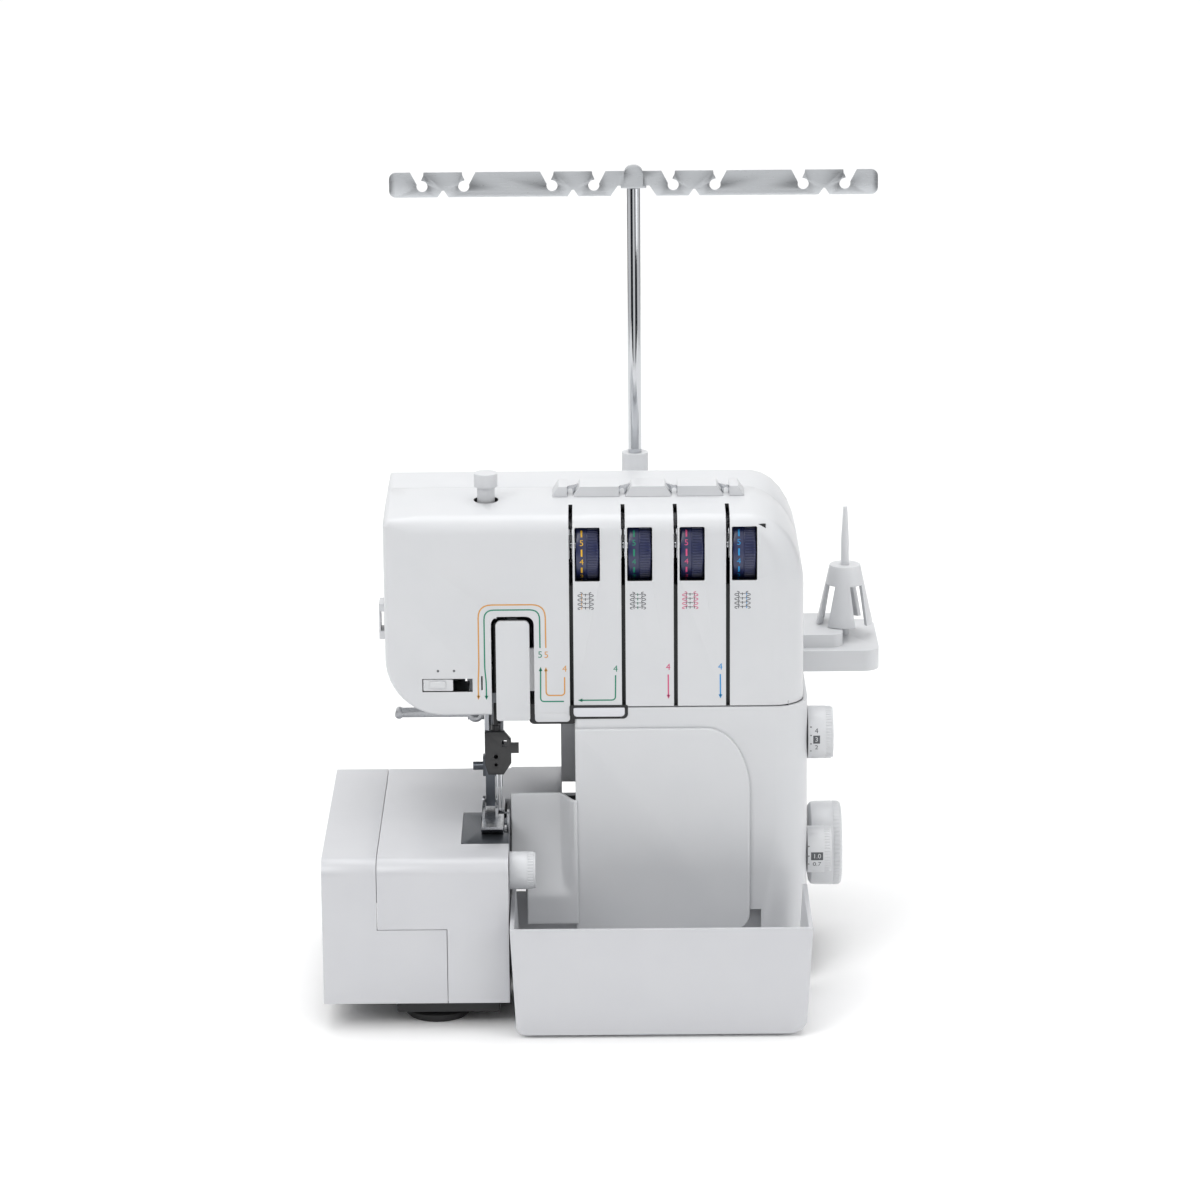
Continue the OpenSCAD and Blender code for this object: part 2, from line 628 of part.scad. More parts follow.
module spool_cones() {
    cap_h = 11;
    cone_h = 37;
    color("#eceded") for (x = pin_x) translate([x, pin_y, cone_z]) difference() {
        cylinder(h = cone_h, d1 = 35, d2 = 19);
        translate([0, 0, -over]) cylinder(h = cone_h - 3, d1 = 30.4, d2 = 15.2);
        translate([0, 0, -over]) cylinder(h = cone_h + 1, d = spool_pin_d + 2 * run_clear);
        // Slots that leave four springy legs
        for (a = [35, 125]) rotate([0, 0, a]) translate([-20, -4.5, -over]) cube([40, 9, cone_h - cap_h]);
    }
}
module mast_sleeve() {
    color("#e6e7e8") difference() {
        union() {
            rod_z(stand_z + 4, sleeve_top_z, mast_x, mast_y, 16);
            rod_z(stand_top_z + 8, stand_top_z + 16, mast_x, mast_y, 22);
        }
        rod_z(stand_z + 8, sleeve_top_z + over, mast_x, mast_y, rod_d + 2 * run_clear);
    }
}
module mast_rod() {
    color("#c9cbce") rod_z(rod_top_z - rod_len, rod_top_z - 0.5, mast_x, mast_y, rod_d);
    color("#c9cbce") rod_z(rod_top_z - 1, rod_top_z + 5, mast_x, mast_y, 4);
}
// Open hook cut into the bar's upper edge: a slanted way in and a round pocket
module hook(x, s) {
    translate([x, mast_y, 0]) {
        rod_y(-bar_t * 3, bar_t * 3, 0, bar_top_z - 8.5, 6.6);
        along_y(-bar_t * 3, bar_t * 3) translate([0, bar_top_z]) polygon([for (p = [[-2.3, -9.6], [-1.3, -5.4], [0.5, -4.8],
            [-0.8, -2], [-1.2, over], [7.6, over], [3.1, -7.6], [2, -10.6]]) [p[0] * s, p[1]]]);
    }
}
bar_top_z = bar_z0 + bar_h;
pair_at = [-0.78, -0.248, 0.248, 0.78];
module guide_bar() {
    y0 = mast_y - 4.2 - bar_t;
    color("#bfc3c7") difference() {
        along_y(y0, y0 + bar_t) polygon(rounded(mast_x - bar_len / 2, bar_z0, mast_x + bar_len / 2, bar_top_z, same(4)));
        for (p = pair_at, s = [-1, 1]) translate([0, y0 + bar_t / 2 - mast_y, 0]) hook(mast_x + p * bar_len / 2 + s * 12.5, s);
        for (p = pair_at) along_y(y0 - over, y0 + bar_t + over) let (x = mast_x + p * bar_len / 2)
            polygon([[x - 4, bar_z0 - over], [x + 4, bar_z0 - over], [x + 0.6, bar_z0 + 4], [x - 0.6, bar_z0 + 4]]);
        // Lower edge rises over the clip
        along_y(y0 - over, y0 + bar_t + over) polygon([[mast_x - 14.5, bar_z0 - over], [mast_x + 14.5, bar_z0 - over],
            [mast_x + 9.5, bar_z0 + 6.2], [mast_x - 9.5, bar_z0 + 6.2]]);
        rod_y(y0 - over, y0 + bar_t + over, mast_x, bar_z0 + 9, 3);
    }
    // Clip that turns on the rod's end and carries the bar
    color("#eceded") difference() {
        union() {
            rod_z(rod_top_z + 0.3, rod_top_z + 9, mast_x, mast_y, 11.5);
            along_y(y0 + bar_t, mast_y) polygon(rounded(mast_x - 5.7, rod_top_z + 0.3, mast_x + 5.7, bar_top_z + 3,
                [[0, 0], [0, 0], [5, 5], [5, 5]]));
            along_y(y0 - 1.2, y0) polygon(rounded(mast_x - 5.7, bar_z0 + 5.5, mast_x + 5.7, bar_top_z + 3,
                [[0, 0], [0, 0], [5, 5], [5, 5]]));
            box(mast_x - 7.6, y0 - 1.2, rod_top_z + 0.3, mast_x + 7.6, mast_y, bar_z0 + 6.2);
            rod_y(y0 - over, y0 + bar_t + over, mast_x, bar_z0 + 9, 3);
        }
        rod_z(rod_top_z - over, rod_top_z + 6, mast_x, mast_y, 4 + 2 * run_clear);
    }
}

// ---- Drive ----
module motor() {
    color("#3a3c40") {
        rod_x(pulley_x - 92, pulley_x - 16, motor_y, motor_z, 40);
        box(pulley_x - 80, motor_y, motor_z - 19, pulley_x - 30, 38, motor_z + 19);
    }
    color("#c8cbcf") difference() {
        rod_x(pulley_x - 16, pulley_x - 12, motor_y, motor_z, 16);
        rod_x(pulley_x - 17, pulley_x - 11, motor_y, motor_z, 5 + 2 * run_clear);
    }
}
module motor_pulley() {
    color("#c8cbcf") {
        rod_x(pulley_x - 15.5, pulley_x - 6, motor_y, motor_z, 5);
        rod_x(pulley_x - 6, pulley_x + 6, motor_y, motor_z, motor_pulley_d - 3);
        for (x = [pulley_x - 6, pulley_x + 4.5]) rod_x(x, x + 1.5, motor_y, motor_z, motor_pulley_d + 4);
    }
}
// Two straight runs and two bends round the pulleys, clear of both
module belt_outline(d) {
    for (p = [[shaft_y, shaft_z, pulley_d / 2], [motor_y, motor_z, motor_pulley_d / 2]])
        translate([p[0], p[1]]) circle(r = p[2] + d, $fn = 32);
}
module drive_belt() {
    color("#202124") along_x(pulley_x - 3, pulley_x + 3) difference() {
        hull() belt_outline(1.5);
        hull() belt_outline(0);
    }
}
module main_shaft() {
    color("#b4b7bb") rod_x(bed_x1 + 4, side_x1 + 2, shaft_y, shaft_z, shaft_d);
    color("#55585d") {
        rod_x(pulley_x - 5, pulley_x + 5, shaft_y, shaft_z, pulley_d - 1);
        for (x = [col_x0 + 2, col_x0 + 20]) difference() {
            translate([0, 4, 0]) rod_x(x, x + 5, shaft_y, shaft_z, 20);
            rod_x(x - over, x + 6, shaft_y, shaft_z, shaft_d - 0.2);
        }
    }
}
module handwheel() {
    color("#eceded") difference() {
        union() {
            rod_x(side_x1 + 6, side_x1 + 23, shaft_y, shaft_z, handwheel_d);
            rod_x(side_x1 + 1, side_x1 + 7, shaft_y, shaft_z, handwheel_d - 12);
            rod_x(side_x1 - 3, side_x1 + 2, shaft_y, shaft_z, 14.5);
        }
        for (a = [0:12:348]) translate([0, shaft_y, shaft_z]) rotate([a, 0, 0])
            box(side_x1 + 7.5, handwheel_d / 2 - 0.8, -0.7, side_x1 + 21, handwheel_d / 2 + over, 0.7);
        rod_x(side_x1 - 4, side_x1 + 2, shaft_y, shaft_z, shaft_d);
    }
}
// Rocker shaft of the arm, with the lever that works the needle bar
module arm_shaft() {
    reach = arm_shaft_y - needle_y;
    color("#9a9da2") {
        rod_x(needle_x + 12, col_x0 + 54, arm_shaft_y, arm_shaft_z, shaft_d);
        difference() {
            union() {
                rod_x(needle_x + 6, needle_x + 12, arm_shaft_y, arm_shaft_z, 18);
                box(needle_x + 6, needle_y - 5, arm_shaft_z - 6, needle_x + 12, arm_shaft_y, arm_shaft_z + 6);
            }
            // Fork open to the front, wider than the needle bar's pin
            box(needle_x + 5, needle_y - 6, arm_shaft_z - 3.6, needle_x + 13, needle_y + 9, arm_shaft_z + 3.6);
        }
        rod_x(col_x0 + 54, col_x0 + 62, arm_shaft_y, arm_shaft_z, 18);
    }
}
module needle_bar() {
    color("#c9cbce") rod_z(clamp_z + 9, top_z - 11, needle_x, needle_y, needle_bar_d);
    color("#9a9da2") {
        box(needle_x - 5, needle_y - 5, arm_shaft_z - 5, needle_x + 5, needle_y + 5, arm_shaft_z + 5);
        rod_x(needle_x + 5, needle_x + 11.5, needle_y, arm_shaft_z, 3);
    }
}
module needle_clamp() {
    color("#2a2b2e") difference() {
        box(needle_x - 6, needle_y - 5, clamp_z, needle_x + 6, needle_y + 4.5, clamp_z + 12);
        rod_z(clamp_z + 9, clamp_z + 13, needle_x, needle_y, needle_bar_d);
        for (dx = needle_dx) rod_z(clamp_z - over, clamp_z + 8, needle_x + dx, needle_y - 2, 1.8);
    }
    color("#c8cbcf") for (dx = needle_dx) rod_y(needle_y - 6.3, needle_y - 5, needle_x + dx * 2.2, clamp_z + 4, 3);
}
needle_dx = [-1.1, 1.1];
module needles() {
    color("#d5d7da") for (dx = needle_dx) {
        rod_z(clamp_z - 14, clamp_z + 8, needle_x + dx, needle_y - 2, 1.8);
        rod_z(bed_h + 9, clamp_z - 14, needle_x + dx, needle_y - 2, 0.9);
        translate([needle_x + dx, needle_y - 2, bed_h + 5]) cylinder(h = 4, d1 = 0.2, d2 = 0.9, $fn = 24);
    }
}
// Lever with two thread eyes on the rocker shaft's left end
module take_up_lever() {
    color("#c8cbcf") difference() {
        union() {
            rod_x(col_x0 + 62, col_x0 + 65, arm_shaft_y, arm_shaft_z, 16);
            box(col_x0 + 62, front_y + 6, arm_shaft_z - 3, col_x0 + 65, arm_shaft_y, arm_shaft_z + 3);
        }
        for (y = [front_y + 8.5, front_y + 14]) rod_x(col_x0 + 61, col_x0 + 66, y, arm_shaft_z, 2.4);
    }
}
// Looper: a boss on its own short shaft along Y, an arm, and a curved blade
module looper(px, pz, y, h, tip_x, tip_z) {
    color("#c8cbcf") {
        rod_y(y - 1, y + 34, px, pz, 7);
        along_y(y, y + 2.6) polygon([[px - 4, pz], [px + 4, pz], [px + 3, pz + h], [px - 3, pz + h]]);
        along_y(y + 0.2, y + 2.4) polygon(concat(
            [for (t = [0:0.125:1]) [px + 3 + (tip_x - px - 3) * t, pz + h + (tip_z - pz - h) * t + 4 * sin(180 * t)]],
            [for (t = [1:-0.125:0]) [px + 3 + (tip_x - px - 3) * t - 0.2, pz + h - 4 * (1 - t) + (tip_z - pz - h) * t + 3 * sin(180 * t) - 0.6 * t]]));
    }
}
lower_looper_at = [bed_x1 + 17, 44];
upper_looper_at = [bed_x1 + 30, 52];
module lower_looper() {
    looper(lower_looper_at[0], lower_looper_at[1], needle_y + 3, bed_h - 62, bed_x1 - 2, bed_h - 13);
}
module upper_looper() {
    looper(upper_looper_at[0], upper_looper_at[1], needle_y + 8, bed_h - 70, bed_x1 + 7, bed_h - 3);
}
module upper_knife() {
    color("#b4b7bb") {
        box(bed_x1 - 1.4, knife_y, bed_h - 6, bed_x1 - 0.1, knife_y + 9, bed_h + 10);
        box(bed_x1 - 1.4, knife_y + 1, bed_h - 25, bed_x1 - 0.1, knife_y + 7, bed_h - 6);
        box(bed_x1 - 1.4, knife_y + 1, bed_h - 29, bed_x1 + 0.3, knife_y + 7, bed_h - 25);
    }
}
dog_x = [bed_x1 - 16.4, bed_x1 - 12.2];
module feed_dogs() {
    color("#9a9da2") {
        for (x = dog_x) difference() {
            box(x, needle_y - 23, bed_h - 9, x + 2, needle_y - 4, bed_h - 0.6);
            for (y = [needle_y - 22.4 : 2 : needle_y - 5]) box(x - over, y, bed_h - 1.6, x + 3, y + 0.9, bed_h);
        }
        box(dog_x[0], needle_y - 23, bed_h - 14, dog_x[1] + 2, needle_y + 20, bed_h - 9);
    }
}

// ---- Presser ----
module presser_bar() {
    color("#c9cbce") rod_z(bed_h + 26, lug_high_z - 15, presser_x, presser_y, presser_bar_d);
    color("#9a9da2") difference() {
        rod_z(lug_low_z + 12, lug_low_z + 17, presser_x, presser_y, 13);
        rod_z(lug_low_z + 11, lug_low_z + 18, presser_x, presser_y, presser_bar_d - 0.1);
    }
}
module presser_ankle() {
    color("#55585d") difference() {
        union() {
            box(presser_x - 4, presser_y - 5, bed_h + 20, presser_x + 4, presser_y + 5, bed_h + 31);
            box(foot_x0 + 2, foot_pin_y - 3, bed_h + 4.5, presser_x + 3.2, presser_y - 4, bed_h + 31);
        }
        rod_z(bed_h + 26, bed_h + 32, presser_x, presser_y, presser_bar_d);
        rod_x(presser_x - 5, presser_x + 5, foot_pin_y, foot_pin_z, 2.4 + 2 * run_clear);
    }
    color("#c9a24a") rod_x(presser_x - 10, presser_x - 4, presser_y, bed_h + 25, 5);
}
module presser_spring() {
    turns = 7;
    z0 = lug_low_z + 17.6;
    pitch = (lug_high_z - 6.6 - z0) / turns;
    color("#b4b7bb") for (i = [0:turns - 1]) translate([presser_x, presser_y, z0 + pitch * (i + 0.5)])
        rotate_extrude($fn = 24) translate([5, 0]) circle(d = 1.4, $fn = 16);
}
module presser_foot() {
    x1 = bed_x1 - 3.6;
    color("#b4b7bb") difference() {
        union() {
            along_x(foot_x0, x1) polygon([[front_y - 24, foot_sole_z + 4], [front_y - 19, foot_sole_z], [foot_pin_y - 2, foot_sole_z],
                [foot_pin_y - 2, foot_sole_z + 2.5], [front_y - 19, foot_sole_z + 2.5], [front_y - 24, foot_sole_z + 5.5]]);
            for (x = [foot_x0, presser_x + 3.7]) {
                box(x, front_y + 4, foot_sole_z + 2, x + 1.6, foot_pin_y, foot_sole_z + 8);
                rod_x(x, x + 1.6, foot_pin_y, foot_pin_z, 6);
            }
        }
        box(needle_x - 2, needle_y - 5, bed_h, needle_x + 3, needle_y + 2, bed_h + 9);
    }
    color("#c8cbcf") rod_x(foot_x0 + 1, presser_x + 4, foot_pin_y, foot_pin_z, 2.4);
}
lifter_at = [presser_x - 9, arm_z0 - 19];
module presser_lever() {
    color("#b9bcc0") {
        difference() {
            union() {
                rod_y(10, 21.5, lifter_at[0], lifter_at[1], 10);
                box(arm_x0 + 3.5, 11, lifter_at[1] - 2, lifter_at[0], 20, lifter_at[1] + 1.5);
            }
            rod_y(9, 22.5, lifter_at[0], lifter_at[1], 4 + 2 * run_clear);
        }
        rod_y(10.5, 20, arm_x0 + 4.5, lifter_at[1] - 0.3, 5);
    }
}
module pressure_knob() {
    color("#eceded") {
        rod_z(top_z + 8, top_z + 16, presser_x, presser_y, 13.8);
        rod_z(lug_high_z + lug_t, top_z + 8, presser_x, presser_y, 10.4);
        rod_z(lug_high_z - 2.5, lug_high_z + lug_t + over, presser_x, presser_y, presser_bar_d);
        rod_z(lug_high_z - 6, lug_high_z - 2.5, presser_x, presser_y, 12);
    }
}

// ---- Side dials ----
// Outline of a finely ribbed rim
module ribbed(d, ribs) {
    polygon([for (k = [0:ribs - 1], e = [[0, 0.15], [0.4, 0.15], [0.5, 0.5], [0.9, 0.5]])
        let (a = (k + e[0]) * 360 / ribs, r = d / 2 - e[1]) [r * cos(a), r * sin(a)]]);
}
// Knob on a shaft along X: smooth band for the numbers, ribbed band, smooth rim
module side_dial(x0, w, y, z, d, shaft) {
    ribs = round(d * 3.14 / 1.9);
    color("#eceded") {
        rod_x(x0, x0 + w * 0.7, y, z, d);
        translate([x0 + w * 0.7, y, z]) rotate([90, 0, 90]) linear_extrude(w * 0.3 - 1.2) ribbed(d, ribs);
        rod_x(x0 + w - 1.2, x0 + w, y, z, d - 1.4);
        rod_x(x0 - shaft, x0, y, z, shaft_d);
    }
}
length_dial_y = -25;
length_dial_z = arm_z0 - 21;
diff_dial_y = -26;
diff_dial_z = shaft_z + 10;
width_dial_y = -99;
width_dial_z = bed_h - 14;
module stitch_length_dial() {
    side_dial(side_x1 + gap, length_dial_w, length_dial_y, length_dial_z, length_dial_d, 10);
}
module differential_dial() {
    side_dial(side_x1 + gap, diff_dial_w, diff_dial_y, diff_dial_z, diff_dial_d, 10);
}
module stitch_width_dial() {
    side_dial(bed_x1 + gap, width_dial_w, width_dial_y, width_dial_z, width_dial_d, 9);
}

module needle_slider() {
    x0 = arm_x0 + 22;
    color("#f2f2f2") {
        box(x0, front_y + 0.4, arm_z0 + 15, x0 + 17.5, front_y + 2.4, arm_z0 + 22);
        box(x0 + 4, front_y - 0.6, arm_z0 + 17, x0 + 13, front_y + 0.6, arm_z0 + 21);
    }
}
module threader() {
    z0 = bed_h + 30;
    color("#1b1c1f") difference() {
        along_y(front_y + 1.5, front_y + 6) polygon([[threader_x - 4.5, z0], [threader_x + 4.5, z0], [threader_x + 9, z0 + 7],
            [threader_x + 9, z0 + 21], [threader_x + 5, z0 + 26], [threader_x - 6.4, z0 + 26], [threader_x - 6.4, z0 + 6]]);
        rod_y(front_y, front_y + 7, threader_x, z0 + 11, 2.6);
        rod_y(front_y, front_y + 7, threader_x, z0 + 6, 2);
        box(threader_x + 3.5, front_y, z0 + 17, threader_x + 6.5, front_y + 7, z0 + 21);
    }
    color("#1b1c1f") box(threader_x + 8, front_y + 2, z0 + 13, threader_x + 13.5, front_y + 4.5, z0 + 19);
    color("#c9cbce") rod_z(z0 + 24, arm_z0 + 54, threader_x, threader_y, 2.6);
    color("#1b1c1f") box(threader_x - 3, front_y + 5, z0 + 22, threader_x + 3, threader_y + 2, z0 + 26);
    color("#c9a24a") rod_z(z0 + 26, z0 + 29, threader_x, threader_y, 5.6);
}

// ---- Covers ----
module looper_cover() {
    color("#e9eaeb") {
            along_y(front_y - cover_t - 0.2, front_y - 0.2) polygon(rounded(col_x0, cover_low_z, cover_x1, cover_top_z,
                [[2, 2], [10, 10], [26, 39], [1, 1]]));
            // Chute for the trimmings: an upright back, and a curve that runs down and forwards
            along_x(bed_x1 + 0.7, col_x0 + 2) chute(80);
            along_x(bed_x1 + 9.8, col_x0 + 2) chute(58);
            // Web between the chute and the panel
            along_x(col_x0, col_x0 + 2) polygon([[front_y - cover_t - 0.2, 58], [front_y + 5, 66], [front_y + 13.5, 84],
                [front_y + 15.5, chute_top_z], [front_y - cover_t - 0.2, chute_top_z]]);
    }
    // Two hinge knuckles behind the panel
    color("#e9eaeb") for (x = [col_x0 + 12, cover_x1 - 28]) difference() {
        union() {
            rod_x(x, x + 12, cover_pin_y, cover_hinge_z, 7);
            box(x, front_y - 1, cover_hinge_z - 3.5, x + 12, cover_pin_y, cover_hinge_z + 3.5);
        }
        rod_x(x - over, x + 12 + over, cover_pin_y, cover_hinge_z, 3 + 2 * run_clear);
    }
}
// Side view of the chute above height low
module chute(low) {
    y1 = front_y + 15;
    intersection() {
        polygon(concat([[y1, chute_top_z], [y1 - 2, chute_top_z]],
            [for (t = [0:0.125:1]) [y1 - 2 - 15.5 * t * t, bed_h + 2 - (bed_h - 57) * t]],
            [for (t = [1:-0.125:0]) [y1 - 15.2 * t * t, bed_h + 2 - (bed_h - 59) * t]]));
        translate([front_y - 6, low]) square([30, bed_h]);
    }
}
module cover_pin() {
    color("#c8cbcf") rod_x(col_x0 + 4, cover_x1 - 4, cover_pin_y, cover_hinge_z, 3);
}

module extension_table() {
    skirt_x1 = bed_x0 + table_skirt_len;
    color("#eceded") {
        difference() {
            along_x(bed_x0, table_x1) table_top();
            along_x(bed_x0 + wall, table_x1 + over) table_top(wall);
        }
        box(table_x1 - over, bed_front_y, skirt_z, skirt_x1, bed_front_y + wall, table_skirt_z);
    }
}

module tray_outline(d = 0) {
    x0 = bed_x1 + 0.8;
    x1 = side_x1 - 0.9;
    polygon(concat([[x0 + d, tray_h + (d > 0 ? over : 0)]],
        arc([x0 + tray_draft + 6, tray_lift + 6], [6 - d, 6 - d], 180, 270, 4),
        arc([x1 - tray_draft - 10, tray_lift + 10], [10 - d, 10 - d], 270, 360, 6),
        [[x1 - d, tray_h + (d > 0 ? over : 0)]]));
}
module waste_tray() {
    color("#f0f0f1") difference() {
        along_y(tray_front_y, tray_back_y) tray_outline();
        along_y(tray_front_y + wall, tray_back_y + over) tray_outline(wall);
    }
}
module power_rocker() {
    color("#202124") {
        along_y(31, 41) polygon([[side_x1 - 4, 101], [side_x1 + 0.2, 100.5], [side_x1 + 1.6, 110],
            [side_x1 + 3, 119.5], [side_x1 - 4, 119]]);
        // Pin on which it tips
        rod_y(30.4, 41.6, side_x1 - 1, 110, 2);
    }
}

base_pan();
rubber_feet();
main_frame();
rear_casing();
arm_casing();
lower_casing();
bed_casing();
thread_panel();
slot_liner();
guide_caps();
top_hooks();
tension_bracket();
tension_spindles();
tension_discs();
needle_plate();
lower_knife();
lamp_lens();
inlet_socket();
cover_pin();
thread_cutter();
spool_stand();
spool_pins();
spool_cones();
mast_sleeve();
casing_screws();
motor();
drive_belt();
main_shaft();
handwheel();
motor_pulley();
arm_shaft();
needle_bar();
needle_clamp();
needles();
take_up_lever();
upper_looper();
lower_looper();
upper_knife();
feed_dogs();
presser_bar();
presser_ankle();
presser_spring();
presser_foot();
presser_lever();
pressure_knob();
stitch_length_dial();
differential_dial();
stitch_width_dial();
needle_slider();
threader();
looper_cover();
extension_table();
waste_tray();
mast_rod();
guide_bar();
power_rocker();
tension_dial(0);  // tension_dial_1
tension_dial(1);  // tension_dial_2
tension_dial(2);  // tension_dial_3
tension_dial(3);  // tension_dial_4
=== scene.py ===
"""Looks of a household overlock sewing machine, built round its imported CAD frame."""

import math

import bmesh
import bpy
from bpy.props import FloatProperty, FloatVectorProperty, IntProperty, PointerProperty
from mathutils import Matrix, Vector


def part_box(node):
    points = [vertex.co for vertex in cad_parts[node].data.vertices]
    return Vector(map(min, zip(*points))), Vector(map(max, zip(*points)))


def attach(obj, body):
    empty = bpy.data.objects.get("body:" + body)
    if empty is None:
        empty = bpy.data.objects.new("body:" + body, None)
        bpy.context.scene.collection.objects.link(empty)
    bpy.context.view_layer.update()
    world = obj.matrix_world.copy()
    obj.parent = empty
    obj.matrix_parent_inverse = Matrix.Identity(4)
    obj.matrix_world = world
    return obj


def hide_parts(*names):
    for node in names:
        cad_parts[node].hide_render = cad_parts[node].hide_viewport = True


bl_info = {
    "name": "Overlock Machine Looks",
    "version": (1, 0, 0),
    "blender": (4, 5, 0),
    "location": "View3D > Sidebar > Overlock",
    "description": "Mouldings, dials, prints and materials of an overlock sewing machine",
    "category": "Object",
}

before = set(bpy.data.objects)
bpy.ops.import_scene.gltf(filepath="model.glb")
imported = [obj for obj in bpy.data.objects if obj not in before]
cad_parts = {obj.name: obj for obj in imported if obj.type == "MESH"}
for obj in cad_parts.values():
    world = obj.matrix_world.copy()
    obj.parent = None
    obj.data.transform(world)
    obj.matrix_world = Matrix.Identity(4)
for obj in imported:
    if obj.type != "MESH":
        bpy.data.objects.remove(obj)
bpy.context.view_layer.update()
MM = 0.001


# ---- Places, in millimetres, all read from the frame ----
def low(node, axis):
    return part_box(node)[0]["xyz".index(axis)] / MM


def high(node, axis):
    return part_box(node)[1]["xyz".index(axis)] / MM


WALL = 2.5
SEAM = 0.4
FRONT = low("arm_casing", "y")
SEAM_Y = high("arm_casing", "y")
REAR = high("rear_casing", "y")
ARM_X0 = low("arm_casing", "x")
ARM_X1 = high("arm_casing", "x")
TOP = high("arm_casing", "z")
ARM_Z0 = TOP - 122
LOWER_TOP = high("lower_casing", "z")
SIDE_X1 = high("lower_casing", "x")
COL_X0 = low("lower_casing", "x")
BED_X1 = high("needle_plate", "x")
BED_TOP = high("bed_casing", "z")
DIAL_Z = (low("tension_dial_1", "z") + high("tension_dial_1", "z")) / 2
DIAL_Y = (low("tension_dial_1", "y") + high("tension_dial_1", "y")) / 2
DIAL_R = (high("tension_dial_1", "z") - low("tension_dial_1", "z")) / 2
DIAL_X = [low(f"tension_dial_{i}", "x") for i in (1, 2, 3, 4)]
DIAL_W = high("tension_dial_1", "x") - DIAL_X[0]
SLIT_X = [x - 2.9 for x in DIAL_X]
SLIT_W = 2.3
SLOT_X0, SLOT_X1, SLOT_TOP, SLOT_W = BED_X1 - 9.6, BED_X1 + 15.5, TOP - 62, 2.7


# ---- Colour and material ----
def rgb(code, alpha=1.0):
    """An sRGB hex colour as a linear one."""
    parts = [int(code[i : i + 2], 16) / 255 for i in (1, 3, 5)]
    return [c / 12.92 if c <= 0.04045 else ((c + 0.055) / 1.055) ** 2.4 for c in parts] + [alpha]


def node(tree, kind, inputs=None, **settings):
    """Adds a shader node, sets it up, and returns it. A value that is a socket is linked."""
    made = tree.nodes.new(kind)
    for name, value in settings.items():
        setattr(made, name, value)
    for name, value in (inputs or {}).items():
        if isinstance(value, bpy.types.NodeSocket):
            tree.links.new(value, made.inputs[name])
        else:
            made.inputs[name].default_value = value
    return made


def surface(name, base, dark, roughness, spread=0.05, metallic=0.0, grain=0.35, bump=0.03, ior=1.5,
            coat=0.0, stretch=(1, 1, 1), blotch=30.0):
    """One procedural material. grain and blotch are pattern sizes in mm, bump is a height in mm."""
    mat = bpy.data.materials.new(name)
    mat.use_nodes = True
    tree = mat.node_tree
    tree.nodes.clear()
    at = node(tree, "ShaderNodeTexCoord")
    scaled = node(tree, "ShaderNodeMapping", {"Vector": at.outputs["Object"], "Scale": [s * 1000 for s in stretch]})
    fine = node(tree, "ShaderNodeTexNoise", {"Vector": scaled.outputs[0], "Scale": 1 / grain, "Detail": 3.0})
    wide = node(tree, "ShaderNodeTexNoise", {"Vector": scaled.outputs[0], "Scale": 1 / blotch, "Detail": 2.0})
    tone = node(tree, "ShaderNodeMix", {"Factor": wide.outputs["Fac"], "A": rgb(base), "B": rgb(dark)}, data_type="RGBA")
    rough = node(tree, "ShaderNodeMapRange", {"Value": fine.outputs["Fac"], "To Min": roughness - spread,
                                              "To Max": roughness + spread})
    relief = node(tree, "ShaderNodeBump", {"Height": fine.outputs["Fac"], "Distance": bump * MM, "Strength": 0.6})
    shader = node(tree, "ShaderNodeBsdfPrincipled", {
        "Base Color": tone.outputs["Result"], "Roughness": rough.outputs["Result"], "Metallic": metallic,
        "IOR": ior, "Coat Weight": coat, "Coat Roughness": 0.15, "Normal": relief.outputs["Normal"]})
    node(tree, "ShaderNodeOutputMaterial", {"Surface": shader.outputs[0]})
    return mat


# Injection-moulded ABS, near white with a cool tint: soft broad highlight, a spark-eroded fine grain
ABS = surface("abs_white", "#D0D1D3", "#CBCDD0", 0.36, grain=0.5, bump=0.012, ior=1.54, coat=0.12)
# The same plastic as a darker copy on the bed and the tray: painted shade that holds back the stronger light on their
# upward faces
TRAY_PAINTED_SHADE = surface("abs_tray_painted_shade", "#C4C5C8", "#BFC0C4", 0.33, grain=0.5, bump=0.010, ior=1.54, coat=0.15)
# Light grey inlay of the strip under the second panel
STRIP = surface("abs_strip", "#D9DADF", "#D2D3D9", 0.3, grain=0.5, bump=0.01, ior=1.54, coat=0.2)
# Matt black moulding behind the slits
BLACK = surface("black_moulding", "#161719", "#1C1D20", 0.42, grain=0.4, bump=0.02, ior=1.5)
# Needle threader: black nylon, slightly shiny on its edges
NYLON = surface("black_nylon", "#141416", "#1E1F22", 0.3, grain=0.5, bump=0.02, ior=1.53, coat=0.15)
# Base pan: black powder coat on steel, orange-peel relief
POWDER = surface("black_powder_coat", "#17181A", "#1D1E21", 0.5, grain=0.8, bump=0.05, ior=1.5)
# Nitrile rubber feet: dull, with mould bloom
RUBBER = surface("black_rubber", "#121213", "#1B1B1C", 0.62, grain=0.6, bump=0.05, ior=1.52)
# Polished chrome: mast rod, needle bar, screws
CHROME = surface("polished_chrome", "#C9CBCE", "#C0C2C6", 0.10, spread=0.03, metallic=1.0, grain=2.0, bump=0.002)
# Brushed steel parts of the sewing head, brush lines along X
STEEL = surface("brushed_steel", "#B7B9BC", "#A4A6AA", 0.28, spread=0.08, metallic=1.0, grain=0.25, bump=0.006,
                stretch=(0.08, 1, 1), blotch=9.0)
# Needle plate and presser shank: dark satin coating, faintly brushed
DARK = surface("dark_satin_steel", "#63676D", "#575B61", 0.34, spread=0.06, metallic=0.85, grain=0.3, bump=0.006,
               stretch=(1, 0.1, 1), blotch=12.0)
